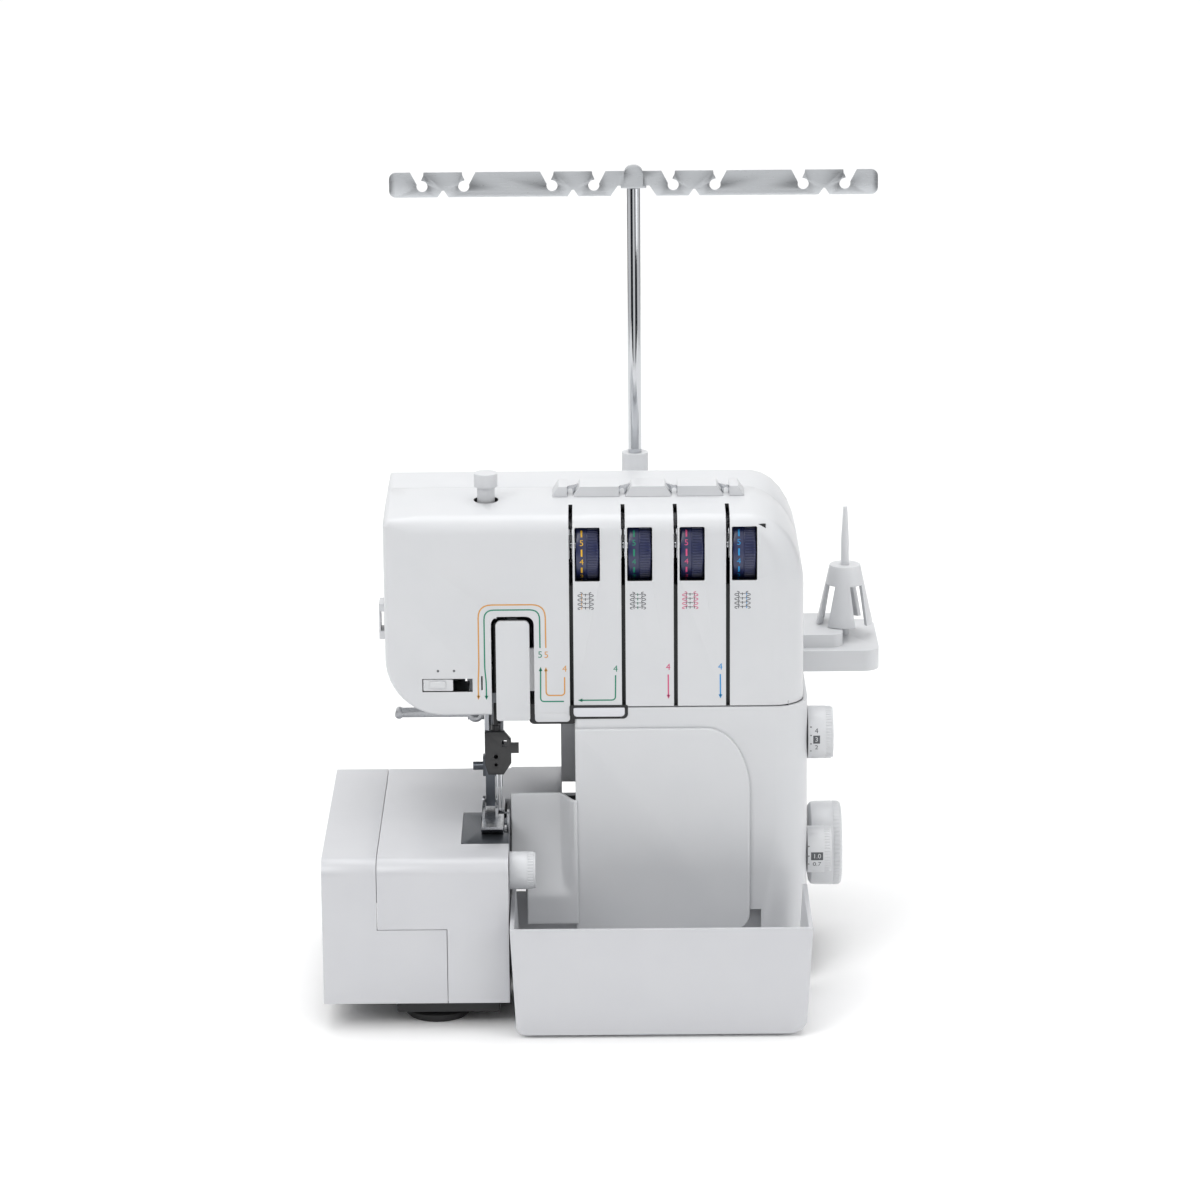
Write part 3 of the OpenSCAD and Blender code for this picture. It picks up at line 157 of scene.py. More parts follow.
# Thread guide bar: rolled aluminium sheet, fine lines along its length
SHEET = surface("brushed_aluminium", "#CDD0D3", "#BDC0C4", 0.3, spread=0.08, metallic=1.0, grain=0.3, bump=0.005,
                stretch=(0.04, 1, 1), blotch=14.0)
# Frame casting: grey aluminium with a grainy cast skin
CAST = surface("cast_aluminium", "#8F9296", "#7E8186", 0.5, metallic=0.9, grain=0.9, bump=0.08)
# Brass clamp screws
BRASS = surface("brass", "#C9A25A", "#B48C45", 0.25, metallic=1.0, grain=0.8, bump=0.005)
# Tension dials: deep navy ABS with a soft sheen
NAVY = surface("navy_abs", "#232A52", "#1D2346", 0.3, grain=0.5, bump=0.01, ior=1.54, coat=0.2)
# Pressed motor can, dark lacquer
LACQUER = surface("dark_lacquer", "#3A3C40", "#323438", 0.38, metallic=0.3, grain=0.6, bump=0.02)
# Pad-printed inks: thin, slightly glossy films
INK_ORANGE = surface("ink_orange", "#D29A4C", "#CA9144", 0.35, bump=0.004)
INK_GREEN = surface("ink_green", "#0F8466", "#0C7A5E", 0.35, bump=0.004)
INK_PINK = surface("ink_pink", "#D0507F", "#C84877", 0.35, bump=0.004)
INK_BLUE = surface("ink_blue", "#1E8FD0", "#1885C4", 0.35, bump=0.004)
INK_YELLOW = surface("ink_yellow", "#E2B12A", "#D9A722", 0.35, bump=0.004)
INK_GREY = surface("ink_grey", "#55575B", "#4C4E52", 0.4, bump=0.004)
INKS = [INK_YELLOW, INK_GREEN, INK_PINK, INK_BLUE]


def clear_plastic():
    """Lamp cover: bright, slightly frosted acrylic."""
    mat = surface("clear_acrylic", "#EAF1F5", "#E2EAEF", 0.12, bump=0.01, ior=1.49)
    mat.node_tree.nodes["Principled BSDF"].inputs["Transmission Weight"].default_value = 0.6
    return mat


LENS = clear_plastic()


# ---- Mesh helpers ----
def smooth_group():
    """Node group that shades smooth, with sharp edges over 32 degrees."""
    group = bpy.data.node_groups.new("smooth_by_angle", "GeometryNodeTree")
    group.interface.new_socket("Geometry", in_out="INPUT", socket_type="NodeSocketGeometry")
    group.interface.new_socket("Geometry", in_out="OUTPUT", socket_type="NodeSocketGeometry")
    source = node(group, "NodeGroupInput")
    angle = node(group, "GeometryNodeInputMeshEdgeAngle")
    soft = node(group, "FunctionNodeCompare", {"A": angle.outputs["Unsigned Angle"], "B": math.radians(32)},
                data_type="FLOAT", operation="LESS_EQUAL")
    faces = node(group, "GeometryNodeSetShadeSmooth", {"Geometry": source.outputs[0], "Shade Smooth": True}, domain="FACE")
    edges = node(group, "GeometryNodeSetShadeSmooth", {"Geometry": faces.outputs[0],
                                                       "Shade Smooth": soft.outputs["Result"]}, domain="EDGE")
    node(group, "NodeGroupOutput", {"Geometry": edges.outputs[0]})
    return group


SMOOTH = smooth_group()


def soften(obj, width=0.4, segments=2, weld=False):
    """Rounds an object's hard edges and shades it smooth, with modifiers only."""
    if weld:
        modifier = obj.modifiers.new("weld", "WELD")
        modifier.merge_threshold = 2e-6
    if width:
        modifier = obj.modifiers.new("edges", "BEVEL")
        modifier.width = width * MM
        modifier.segments = segments
        modifier.limit_method = "ANGLE"
        modifier.angle_limit = math.radians(38)
        modifier.harden_normals = False
    modifier = obj.modifiers.new("smooth", "NODES")
    modifier.node_group = SMOOTH
    return obj


def new_piece(name, bm, materials, body=None, replaces=()):
    """A mesh object from a bmesh in millimetres, riding on a CAD body."""
    bmesh.ops.scale(bm, vec=(MM, MM, MM), verts=bm.verts)
    mesh = bpy.data.meshes.new(name)
    bm.to_mesh(mesh)
    bm.free()
    obj = bpy.data.objects.new(name, mesh)
    bpy.context.scene.collection.objects.link(obj)
    for mat in materials:
        mesh.materials.append(mat)
    if body:
        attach(obj, body)
    if replaces:
        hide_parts(*replaces)
    return obj


def bake(obj):
    """Applies every modifier of a piece."""
    graph = bpy.context.evaluated_depsgraph_get()
    baked = bpy.data.meshes.new_from_object(obj.evaluated_get(graph))
    obj.modifiers.clear()
    obj.data = baked
    return obj


def add_box(bm, x0, y0, z0, x1, y1, z1, material=0):
    made = bmesh.ops.create_cube(bm, size=1.0, matrix=Matrix.Translation(((x0 + x1) / 2, (y0 + y1) / 2, (z0 + z1) / 2))
                                 @ Matrix.Diagonal((x1 - x0, y1 - y0, z1 - z0, 1)))
    for face in {f for v in made["verts"] for f in v.link_faces}:
        face.material_index = material
    return made["verts"]


def add_rod(bm, start, end, r0, r1=None, segments=32, material=0):
    """A capped cylinder or cone between two points."""
    a, b = Vector(start), Vector(end)
    turn = (b - a).to_track_quat("Z", "Y").to_matrix().to_4x4()
    made = bmesh.ops.create_cone(bm, cap_ends=True, segments=segments, radius1=r0, radius2=r0 if r1 is None else r1,
                                 depth=(b - a).length, matrix=Matrix.Translation((a + b) / 2) @ turn)
    for face in {f for v in made["verts"] for f in v.link_faces}:
        face.material_index = material
    return made["verts"]


def add_prism(bm, points, y0, y1, material=0):
    """A drawing in X and Z pushed from y0 to y1."""
    front = [bm.verts.new((x, y0, z)) for x, z in points]
    back = [bm.verts.new((x, y1, z)) for x, z in points]
    faces = [bm.faces.new(front), bm.faces.new(back[::-1])]
    for i in range(len(points)):
        j = (i + 1) % len(points)
        faces.append(bm.faces.new((front[j], front[i], back[i], back[j])))
    for face in faces:
        face.material_index = material
    bmesh.ops.recalc_face_normals(bm, faces=faces)
    return front + back


def add_wire(bm, points, radius, material=0, sides=10):
    """A round wire along points."""
    path = [Vector(p) for p in points]
    rings = []
    for i, p in enumerate(path):
        along = (path[min(i + 1, len(path) - 1)] - path[max(i - 1, 0)]).normalized()
        side = along.cross(Vector((0.13, 0.92, 0.37))).normalized()
        up = side.cross(along)
        rings.append([bm.verts.new(p + radius * (math.cos(a) * side + math.sin(a) * up))
                      for a in (2 * math.pi * k / sides for k in range(sides))])
    faces = [bm.faces.new(rings[0][::-1]), bm.faces.new(rings[-1])]
    for near, far in zip(rings, rings[1:]):
        for k in range(sides):
            n = (k + 1) % sides
            faces.append(bm.faces.new((near[k], near[n], far[n], far[k])))
    for face in faces:
        face.material_index = material


def rounded(x0, z0, x1, z1, corners, steps=12, edge=14):
    """Points (x, z, nx, nz, lip cap) of a rounded rectangle, anticlockwise from the low left corner.
    corners are radius pairs: low left, low right, top right, top left."""
    places = [(x0, z0, 1, 1, 180), (x1, z0, -1, 1, 270), (x1, z1, -1, -1, 0), (x0, z1, 1, -1, 90)]
    arcs = []
    for (x, z, sx, sz, start), (rx, rz) in zip(places, corners):
        arc = []
        for k in range(steps + 1):
            a = math.radians(start + 90 * k / steps)
            c, s = math.cos(a), math.sin(a)
            arc.append((x + sx * rx + rx * c, z + sz * rz + rz * s, c, s, 0.9 * min(rx, rz)))
        arcs.append(arc)
    points = []
    for i, arc in enumerate(arcs):
        points += arc
        (ax, az, *_), (bx, bz, *_) = arc[-1], arcs[(i + 1) % 4][0]
        nx, nz = [(0, -1), (1, 0), (0, 1), (-1, 0)][i]
        points += [(ax + (bx - ax) * k / edge, az + (bz - az) * k / edge, nx, nz, 99) for k in range(1, edge)]
    return points


def drawing(points):
    """Only the X and Z of outline points."""
    return [(p[0], p[1]) for p in points]


def shell(bm, points, y_face, y_open, lips, steps=8, material=0):
    """Front face, rounded lip and side walls of a moulding that is open at y_open.
    lips are lip radii: bottom, right, top, left. A point's lip follows the way its edge faces, stays
    under the corner's own radius and changes by less than half a millimetre per millimetre."""
    sign = 1 if y_open > y_face else -1
    count = len(points)
    radii = []
    for x, z, nx, nz, cap in points:
        wanted = nx * nx * lips[1 if nx > 0 else 3] + nz * nz * lips[2 if nz > 0 else 0]
        radii.append(max(min(wanted, cap), 0.15))
    for order in (range(2 * count), range(2 * count, 0, -1)):
        step = 1 if order[0] == 0 else -1
        for i in order:
            here, after = points[i % count], points[(i + step) % count]
            reach = 0.45 * math.hypot(here[0] - after[0], here[1] - after[1])
            radii[(i + step) % count] = min(radii[(i + step) % count], radii[i % count] + reach)
    rings = []
    for k in range(steps + 1):
        a = math.pi / 2 * (1 - k / steps)
        rings.append([bm.verts.new((p[0] - p[2] * r * (1 - math.cos(a)), y_face + sign * r * (1 - math.sin(a)),
                                    p[1] - p[3] * r * (1 - math.cos(a)))) for p, r in zip(points, radii)])
    depth = abs(y_open - y_face)
    for share in (0.5, 1.0):
        rings.append([bm.verts.new((p[0], y_face + sign * (r + (depth - r) * share), p[1]))
                      for p, r in zip(points, radii)])
    faces = [bm.faces.new(rings[0])]
    for near, far in zip(rings, rings[1:]):
        for i in range(count):
            j = (i + 1) % count
            faces.append(bm.faces.new((near[i], near[j], far[j], far[i])))
    for face in faces:
        face.material_index = material
    bmesh.ops.recalc_face_normals(bm, faces=faces)
    if faces[0].normal.y * sign > 0:
        bmesh.ops.reverse_faces(bm, faces=faces)


def crown(bm):
    """Lowers the arm's top towards the front."""
    for v in bm.verts:
        share = min(max((v.co.z - (TOP - 60)) / 60, 0), 1)
        v.co.z -= share * 4 * (max(0, -10 - v.co.y) / 45) ** 2


def cut(obj, name, build, material=None, solver="EXACT"):
    """Takes away what build(bm) draws. The cut walls take the material."""
    bm = bmesh.new()
    build(bm)
    tool = new_piece(name, bm, [material] if material else [m for m in obj.data.materials][:1])
    modifier = obj.modifiers.new(name, "BOOLEAN")
    modifier.operation = "DIFFERENCE"
    modifier.solver = solver
    modifier.use_self = solver == "EXACT"
    modifier.material_mode = "TRANSFER"
    modifier.object = tool
    bake(obj)
    bpy.data.objects.remove(tool)
    return obj


def thicken(obj, wall=WALL):
    """Gives an open moulding its wall, inwards."""
    modifier = obj.modifiers.new("wall", "SOLIDIFY")
    modifier.thickness = wall * MM
    modifier.offset = -1
    modifier.use_even_offset = True
    return bake(obj)


def glyphs(bm, words, size, place, material=0):
    """Adds printed characters. place(u, v) gives the spot of a point u along and v above the print's middle, in mm."""
    curve = bpy.data.curves.new("print", "FONT")
    curve.body = words
    curve.size = size
    curve.align_x = "CENTER"
    curve.align_y = "CENTER"
    holder = bpy.data.objects.new("print", curve)
    bpy.context.scene.collection.objects.link(holder)
    graph = bpy.context.evaluated_depsgraph_get()
    flat = bpy.data.meshes.new_from_object(holder.evaluated_get(graph))
    made = [bm.verts.new(place(v.co.x, v.co.y)) for v in flat.vertices]
    for poly in flat.polygons:
        face = bm.faces.new([made[i] for i in poly.vertices])
        face.material_index = material
    bpy.data.objects.remove(holder)
    bpy.data.meshes.remove(flat)


def bent(points, radius=3.0, steps=6):
    """A line of (x, z) points with its inner corners rounded."""
    out = [points[0]]
    for before, here, after in zip(points, points[1:], points[2:]):
        a, b, c = Vector(before), Vector(here), Vector(after)
        r = min(radius, (a - b).length / 2, (c - b).length / 2)
        start, end = b + (a - b).normalized() * r, b + (c - b).normalized() * r
        for k in range(steps + 1):
            t = k / steps
            out.append(tuple((1 - t) ** 2 * start + 2 * t * (1 - t) * b + t * t * end))
    return out + [points[-1]]


def ribbon(bm, points, width, y, material=0):
    """A printed line of constant width on the plane at y."""
    path = [Vector(p) for p in points]
    sides = []
    for i, p in enumerate(path):
        along = (path[min(i + 1, len(path) - 1)] - path[max(i - 1, 0)]).normalized()
        out = Vector((-along.y, along.x)) * width / 2
        sides.append([bm.verts.new((q.x, y, q.y)) for q in (p + out, p - out)])
    for (a, b), (c, d) in zip(sides, sides[1:]):
        bm.faces.new((a, b, d, c)).material_index = material


def arrow(bm, tip, way, y, size=2.6, material=0):
    """A solid arrow head. way is a unit step in X and Z."""
    t, w = Vector(tip), Vector(way)
    side = Vector((-w.y, w.x))
    corners = [t, t - w * size + side * size * 0.42, t - w * size - side * size * 0.42]
    bm.faces.new([bm.verts.new((c.x, y, c.y)) for c in corners]).material_index = material


# ---- Operators: stage, frame, mouldings ----
class OVERLOCK_OT_stage(bpy.types.Operator):
    """Camera, floor and soft studio light"""

    bl_idname = "overlock.stage"
    bl_label = "Stage"

    def execute(self, context):
        scene = context.scene
        sizes = scene.overlock_stage
        data = bpy.data.cameras.new("camera")
        data.sensor_width = 36
        data.lens = sizes.lens
        data.clip_end = 50
        camera = bpy.data.objects.new("camera", data)
        scene.collection.objects.link(camera)
        pitch, roll = sizes.pitch, sizes.roll
        ahead = Vector((0, math.cos(pitch), -math.sin(pitch)))
        level, upright = Vector((1, 0, 0)), Vector((0, math.sin(pitch), math.cos(pitch)))
        right = level * math.cos(roll) - upright * math.sin(roll)
        up = upright * math.cos(roll) + level * math.sin(roll)
        turn = Matrix((right, up, -ahead)).transposed().to_4x4()
        camera.matrix_world = Matrix.Translation(Vector(sizes.camera_at)) @ turn
        scene.camera = camera

        bm = bmesh.new()
        deep, half, bend = 1800, 1500, 900
        profile = [(-1000, 0), (deep, 0)] + [(deep + bend * math.sin(a), bend * (1 - math.cos(a))) for a in
                                             (math.pi / 2 * k / 16 for k in range(1, 17))] + [(deep + bend, 5000)]
        rows = [[bm.verts.new((x, y, z - 0.02)) for y, z in profile] for x in (-half, half)]
        for i in range(len(profile) - 1):
            bm.faces.new((rows[0][i], rows[1][i], rows[1][i + 1], rows[0][i + 1]))
        floor = new_piece("floor", bm, [surface("studio_paper", "#FAFAFA", "#F8F8F8", 0.7, grain=1.2, bump=0.01)])
        for face in floor.data.polygons:
            face.use_smooth = True

        world = bpy.data.worlds.new("studio")
        world.use_nodes = True
        # Two dark flags, one on each side behind the camera: chrome mirrors them as dark streaks
        tree = world.node_tree
        back = tree.nodes["Background"]
        place = node(tree, "ShaderNodeTexCoord")
        split = node(tree, "ShaderNodeSeparateXYZ", {"Vector": place.outputs["Generated"]})
        side = node(tree, "ShaderNodeMath", {0: split.outputs["X"]}, operation="ABSOLUTE")
        ramp = node(tree, "ShaderNodeValToRGB", {"Fac": side.outputs[0]})
        ramp.color_ramp.elements[0].position = 0.0
        ramp.color_ramp.elements[0].color = rgb("#FFFFFF")
        ramp.color_ramp.elements[1].position = 1.0
        ramp.color_ramp.elements[1].color = rgb("#F0F0F0")
        for spot, tone in ((0.22, "#FFFFFF"), (0.32, "#26282C"), (0.8, "#26282C"), (0.88, "#FFFFFF")):
            stop = ramp.color_ramp.elements.new(spot)
            stop.color = rgb(tone)
        height = node(tree, "ShaderNodeMath", {0: split.outputs["Z"]}, operation="ABSOLUTE")
        flag = node(tree, "ShaderNodeMath", {0: height.outputs[0], 1: 0.4}, operation="LESS_THAN")
        direct = node(tree, "ShaderNodeLightPath")
        flag = node(tree, "ShaderNodeMath", {0: flag.outputs[0], 1: direct.outputs["Is Camera Ray"]},
                    operation="SUBTRACT", use_clamp=True)
        mix = node(tree, "ShaderNodeMix", data_type="RGBA")
        mix.inputs["A"].default_value = rgb("#FFFFFF")
        tree.links.new(flag.outputs[0], mix.inputs["Factor"])
        tree.links.new(ramp.outputs["Color"], mix.inputs["B"])
        tree.links.new(mix.outputs["Result"], back.inputs["Color"])
        back.inputs["Strength"].default_value = sizes.ambient
        # Plain display colours, so that white plastic and paper come out as white as they are
        scene.view_settings.view_transform = "Standard"
        scene.world = world
        aims = {
            "key": ((-1.6, -1.9, 2.2), 1.6, sizes.key),
            "fill": ((2.2, -1.8, 1.3), 1.8, sizes.fill),
            "top": ((0.0, 0.5, 2.6), 2.0, sizes.top),
        }
        for name, (spot, size, power) in aims.items():
            lamp = bpy.data.lights.new(name, "AREA")
            lamp.shape = "SQUARE"
            lamp.size = size
            lamp.energy = power
            light = bpy.data.objects.new(name, lamp)
            light.location = spot
            light.rotation_euler = (Vector((0, 0, 0.2)) - Vector(spot)).to_track_quat("-Z", "Y").to_euler()
            scene.collection.objects.link(light)
        return {"FINISHED"}


# Material and edge rounding, in mm, of each CAD node that stays in view
DRESS = {
    "base_pan": (POWDER, 0.8), "rubber_feet": (RUBBER, 0.6), "main_frame": (CAST, 0.4), "rear_casing": (ABS, 0.7),
    "bed_casing": (TRAY_PAINTED_SHADE, 0.5), "thread_panel": (ABS, 0.5), "slot_liner": (BLACK, 0.2), "guide_caps": (ABS, 0.9),
    "top_hooks": (CHROME, 0.15), "tension_bracket": (STEEL, 0.2), "tension_spindles": (CHROME, 0.2),
    "tension_discs": (CHROME, 0.1), "needle_plate": (DARK, 0.25), "lower_knife": (STEEL, 0.1), "lamp_lens": (LENS, 0.4),
    "inlet_socket": (BLACK, 0.3), "thread_cutter": (ABS, 0.4), "spool_stand": (ABS, 1.2), "spool_pins": (ABS, 0.2),
    "spool_cones": (ABS, 0.3), "mast_sleeve": (ABS, 0.6), "casing_screws": (CHROME, 0.2), "motor": (LACQUER, 0.6),
    "drive_belt": (RUBBER, 0.0), "main_shaft": (STEEL, 0.3), "handwheel": (ABS, 0.9), "motor_pulley": (STEEL, 0.2),
    "arm_shaft": (CAST, 0.3), "needle_bar": (CHROME, 0.2), "needle_clamp": (NYLON, 0.3), "needles": (CHROME, 0.0),
    "take_up_lever": (STEEL, 0.2), "upper_looper": (STEEL, 0.15), "lower_looper": (STEEL, 0.15),
    "upper_knife": (STEEL, 0.1), "feed_dogs": (STEEL, 0.1), "presser_bar": (CHROME, 0.2), "presser_ankle": (DARK, 0.3),
    "presser_spring": (STEEL, 0.0), "presser_foot": (STEEL, 0.2), "presser_lever": (STEEL, 0.5),
    "pressure_knob": (ABS, 0.6), "stitch_length_dial": (ABS, 0.6), "differential_dial": (ABS, 0.6),
    "stitch_width_dial": (ABS, 0.5), "needle_slider": (ABS, 0.4), "threader": (NYLON, 0.35),
    "extension_table": (TRAY_PAINTED_SHADE, 0.5), "waste_tray": (TRAY_PAINTED_SHADE, 0.8), "mast_rod": (CHROME, 0.2), "guide_bar": (SHEET, 0.2),
    "power_rocker": (BLACK, 0.4), "cover_pin": (CHROME, 0.2),
}


class OVERLOCK_OT_frame(bpy.types.Operator):
    """Material, rounded edges and smooth shading for every CAD node in view"""

    bl_idname = "overlock.frame"
    bl_label = "CAD nodes"

    def execute(self, context):
        for name, (mat, width) in DRESS.items():
            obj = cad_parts[name]
            mesh = obj.data
            if "custom_normal" in mesh.attributes:
                mesh.attributes.remove(mesh.attributes["custom_normal"])
            mesh.materials.clear()
            mesh.materials.append(mat)
            soften(obj, width, weld=True)
        return {"FINISHED"}


def slit_cutter(bm):
    for i, x in enumerate(SLIT_X):
        foot = ARM_Z0 - 12 if i == 0 else ARM_Z0 + 5
        add_box(bm, x - SLIT_W / 2, FRONT - 5, foot, x + SLIT_W / 2, FRONT + 25, TOP + 5)


def window_cutter(bm):
    for x in DIAL_X:
        add_prism(bm, drawing(rounded(x - 0.6, DIAL_Z - 16, x + DIAL_W + 0.6, DIAL_Z + 16, [(0.8, 0.8)] * 4, 3, 1)),
                  FRONT - 5, FRONT + 7)


def slot_cutter(bm):
    add_prism(bm, drawing(rounded(SLOT_X0, ARM_Z0 - 20, SLOT_X1, SLOT_TOP, [(0.1, 0.1)] * 2 + [(5, 5)] * 2, 8, 1)),
              FRONT - 5, FRONT + 7)


class OVERLOCK_OT_arm(bpy.types.Operator):
    """Front moulding of the arm, with its thread slits, dial windows and needle slot"""

    bl_idname = "overlock.arm"
    bl_label = "Arm casing"

    def execute(self, context):
        bm = bmesh.new()
        # The right of the outline runs on below the seam, where it is cut off straight
        points = rounded(ARM_X0, ARM_Z0, ARM_X1, TOP, [(34, 34), (0.6, 0.6), (35, 48), (4, 4)])
        x_step = SLIT_X[0] + 12
        points = [p for p in points if not (p[1] < ARM_Z0 + 8 and p[0] > x_step)]
        turn = next(i for i, p in enumerate(points) if p[0] > ARM_X1 - 1)
        drop = [(x_step, ARM_Z0, 0, -1, 0.6)] + [(x_step, ARM_Z0 - 6 * k, -1, 0, 0.6) for k in range(1, 11)]
        drop += [(x_step + (ARM_X1 - x_step) * k / 20, ARM_Z0 - 66, 0, -1, 0.6) for k in range(21)]
        drop += [(ARM_X1, ARM_Z0 - 66 + 6 * k, 1, 0, 99) for k in range(1, 12)]
        points = points[:turn] + drop + points[turn:]
        shell(bm, points, FRONT, SEAM_Y, (1.5, 19, 10, 3))
        crown(bm)
        arm = new_piece("arm_moulding", bm, [ABS, BLACK], "frame", ["arm_casing"])
        thicken(arm)
        cut(arm, "slits", slit_cutter, BLACK)
        cut(arm, "windows", window_cutter, BLACK)
        cut(arm, "needle_slot", slot_cutter, BLACK)

        def openings(bm):
            """Underside, seam step, slider window, knob hole and vertical mark."""
            add_box(bm, SLIT_X[0] + SLIT_W / 2, FRONT - 5, ARM_Z0 - 75, ARM_X1 + 5, SEAM_Y + 3, LOWER_TOP + 0.9)
            add_box(bm, BED_X1 - 24.2, FRONT + WALL, ARM_Z0 - 12, BED_X1 + 2.8, SEAM_Y + 3, ARM_Z0 + WALL + 1)
            add_box(bm, ARM_X0 + 21.5, FRONT - 5, ARM_Z0 + 14.5, ARM_X0 + 51, FRONT + WALL + 1, ARM_Z0 + 22.5)
            add_rod(bm, (BED_X1 - 12.2, -20, TOP - 8), (BED_X1 - 12.2, -20, TOP + 8), 7.25, segments=40)
            # Thinned roof over the needle bar's highest place
            x, y = ((low("needle_bar", axis) + high("needle_bar", axis)) / 2 for axis in "xy")
            add_rod(bm, (x, y, TOP - 16), (x, y, TOP - 3), 5.2, segments=40)
            add_box(bm, ARM_X0 + 56.0, FRONT - 5, ARM_Z0 + 15.5, ARM_X0 + 56.9, FRONT + 7, ARM_Z0 + 24)

        cut(arm, "openings", openings, BLACK)
        for face in arm.data.polygons:
            # Only the walls of the openings are black, never the outer skin
            skin = face.normal.y < -0.5 and face.center.y < (FRONT + 5) * MM
            if face.material_index and (skin or face.center.x > (DIAL_X[3] + DIAL_W + 1.5) * MM):
                face.material_index = 0
        soften(arm, 0.35)

        bm = bmesh.new()
        # Strip between the needle slot and the first slit, which reaches lower
        strip = rounded(SLOT_X1 + 0.1, ARM_Z0 - 4.4, SLIT_X[0] - SLIT_W / 2 - 0.1, ARM_Z0 + 1, [(2, 2), (2, 2), (0.2, 0.2), (0.2, 0.2)], 6, 2)
        add_prism(bm, drawing(strip), FRONT + 0.05, FRONT + WALL)
        lip = new_piece("arm_drop", bm, [ABS], "frame")
        soften(lip, 0.4)

        bm = bmesh.new()
        # Black edging behind the lower ends of the panels
        edge = rounded(SLOT_X1 - 3.3, ARM_Z0 - 6.4, SLIT_X[0] + 2.2, ARM_Z0 + 6, [(3, 3), (2, 2), (0.2, 0.2), (0.2, 0.2)], 6, 2)
        add_prism(bm, drawing(edge), FRONT + WALL + 0.2, FRONT + WALL + 1.4)
        edge = rounded(SLIT_X[0] - 1.5, LOWER_TOP - 6.6, SLIT_X[1] + 2.3, LOWER_TOP + 1.8, [(3, 3), (3, 3), (1, 1), (1, 1)], 6, 2)
        add_prism(bm, drawing(edge), FRONT - 0.25, FRONT - 0.1)
        new_piece("panel_edging", bm, [BLACK], "frame")

        bm = bmesh.new()
        strip = rounded(SLIT_X[0] + 0.9, LOWER_TOP - 5.2, SLIT_X[1] + 0.4, LOWER_TOP + 0.2, [(2.2, 2.2), (2.2, 2.2), (0.6, 0.6), (0.6, 0.6)], 6, 2)
        add_prism(bm, drawing(strip), FRONT - 0.55, FRONT - 0.26)
        bar = new_piece("panel_strip", bm, [STRIP], "frame")
        soften(bar, 0.12)
        return {"FINISHED"}


class OVERLOCK_OT_lower(bpy.types.Operator):
    """Front moulding of the lower body"""

    bl_idname = "overlock.lower"
    bl_label = "Lower casing"

    def execute(self, context):
        base = low("lower_casing", "z")
        cover_x1, cover_top = high("looper_cover", "x"), high("looper_cover", "z")
        bm = bmesh.new()
        # Taller than it ends up, so that its right lip is cut off straight above and below
        points = rounded(COL_X0, base - 60, SIDE_X1, LOWER_TOP + 60, [(0.4, 0.4)] * 4, edge=40)
        shell(bm, points, FRONT, SEAM_Y, (0.8, 20, 0.3, 2.5))
        lower = new_piece("lower_moulding", bm, [ABS, BLACK], "frame", ["lower_casing"])
        thicken(lower)

        def openings(bm):
            """Looper bay, open top and bottom, and the left wall cut away from the foot to above the bed."""
            bay = rounded(COL_X0 - 5, 30, cover_x1 - 7, cover_top - 7, [(0.1, 0.1), (2, 2), (26, 39), (0.1, 0.1)], 10, 1)
            add_prism(bm, drawing(bay), FRONT - 5, FRONT + 8)
            add_box(bm, COL_X0 - 5, FRONT - 5, base - 5, COL_X0 + WALL + 1, SEAM_Y + 5, BED_TOP + 16.2)

        def above(bm):
            add_box(bm, COL_X0 - 5, FRONT - 5, LOWER_TOP, SIDE_X1 + 5, SEAM_Y + 5, LOWER_TOP + 65)

        def below(bm):
            add_box(bm, COL_X0 - 7, FRONT - 7, base - 65, SIDE_X1 + 7, SEAM_Y + 7, base)

        def recess(bm):
            """Room for the cover's lower edge to swing in, also when it has been slid to the right."""
            add_box(bm, COL_X0 - 3, FRONT - 6, base + 1.5, cover_x1 + 6.8, FRONT + 8.3, 48.4)

        def shafts(bm):
            for node_name in ("stitch_length_dial", "differential_dial"):
                y = (low(node_name, "y") + high(node_name, "y")) / 2
                z = (low(node_name, "z") + high(node_name, "z")) / 2
                add_rod(bm, (SIDE_X1 - 8, y, z), (SIDE_X1 + 5, y, z), 4.3)

        cut(lower, "above", above, solver="MANIFOLD")
        cut(lower, "below", below, solver="MANIFOLD")
        cut(lower, "bay", openings, solver="MANIFOLD")
        cut(lower, "recess", recess, solver="MANIFOLD")
        cut(lower, "shafts", shafts, solver="MANIFOLD")
        soften(lower, 0.3)

        bm = bmesh.new()
        # Black strip behind the seam to the arm, and the white floor of the recess below the cover
        add_box(bm, COL_X0 + 4, FRONT + WALL + 0.1, LOWER_TOP - 4, SIDE_X1 - 12, FRONT + WALL + 1.3, LOWER_TOP + 3, 1)
        add_box(bm, cover_x1 - 9, FRONT + 8.6, base + 1, cover_x1 + 9, FRONT + 10, cover_top / 2)
        # White plate across the bay's foot, below the chute
        add_box(bm, BED_X1 + 2, FRONT + 9.5, base + 4, COL_X0 + 3, FRONT + 11, 57)
        new_piece("seam_backing", bm, [ABS, BLACK], "frame")
        return {"FINISHED"}


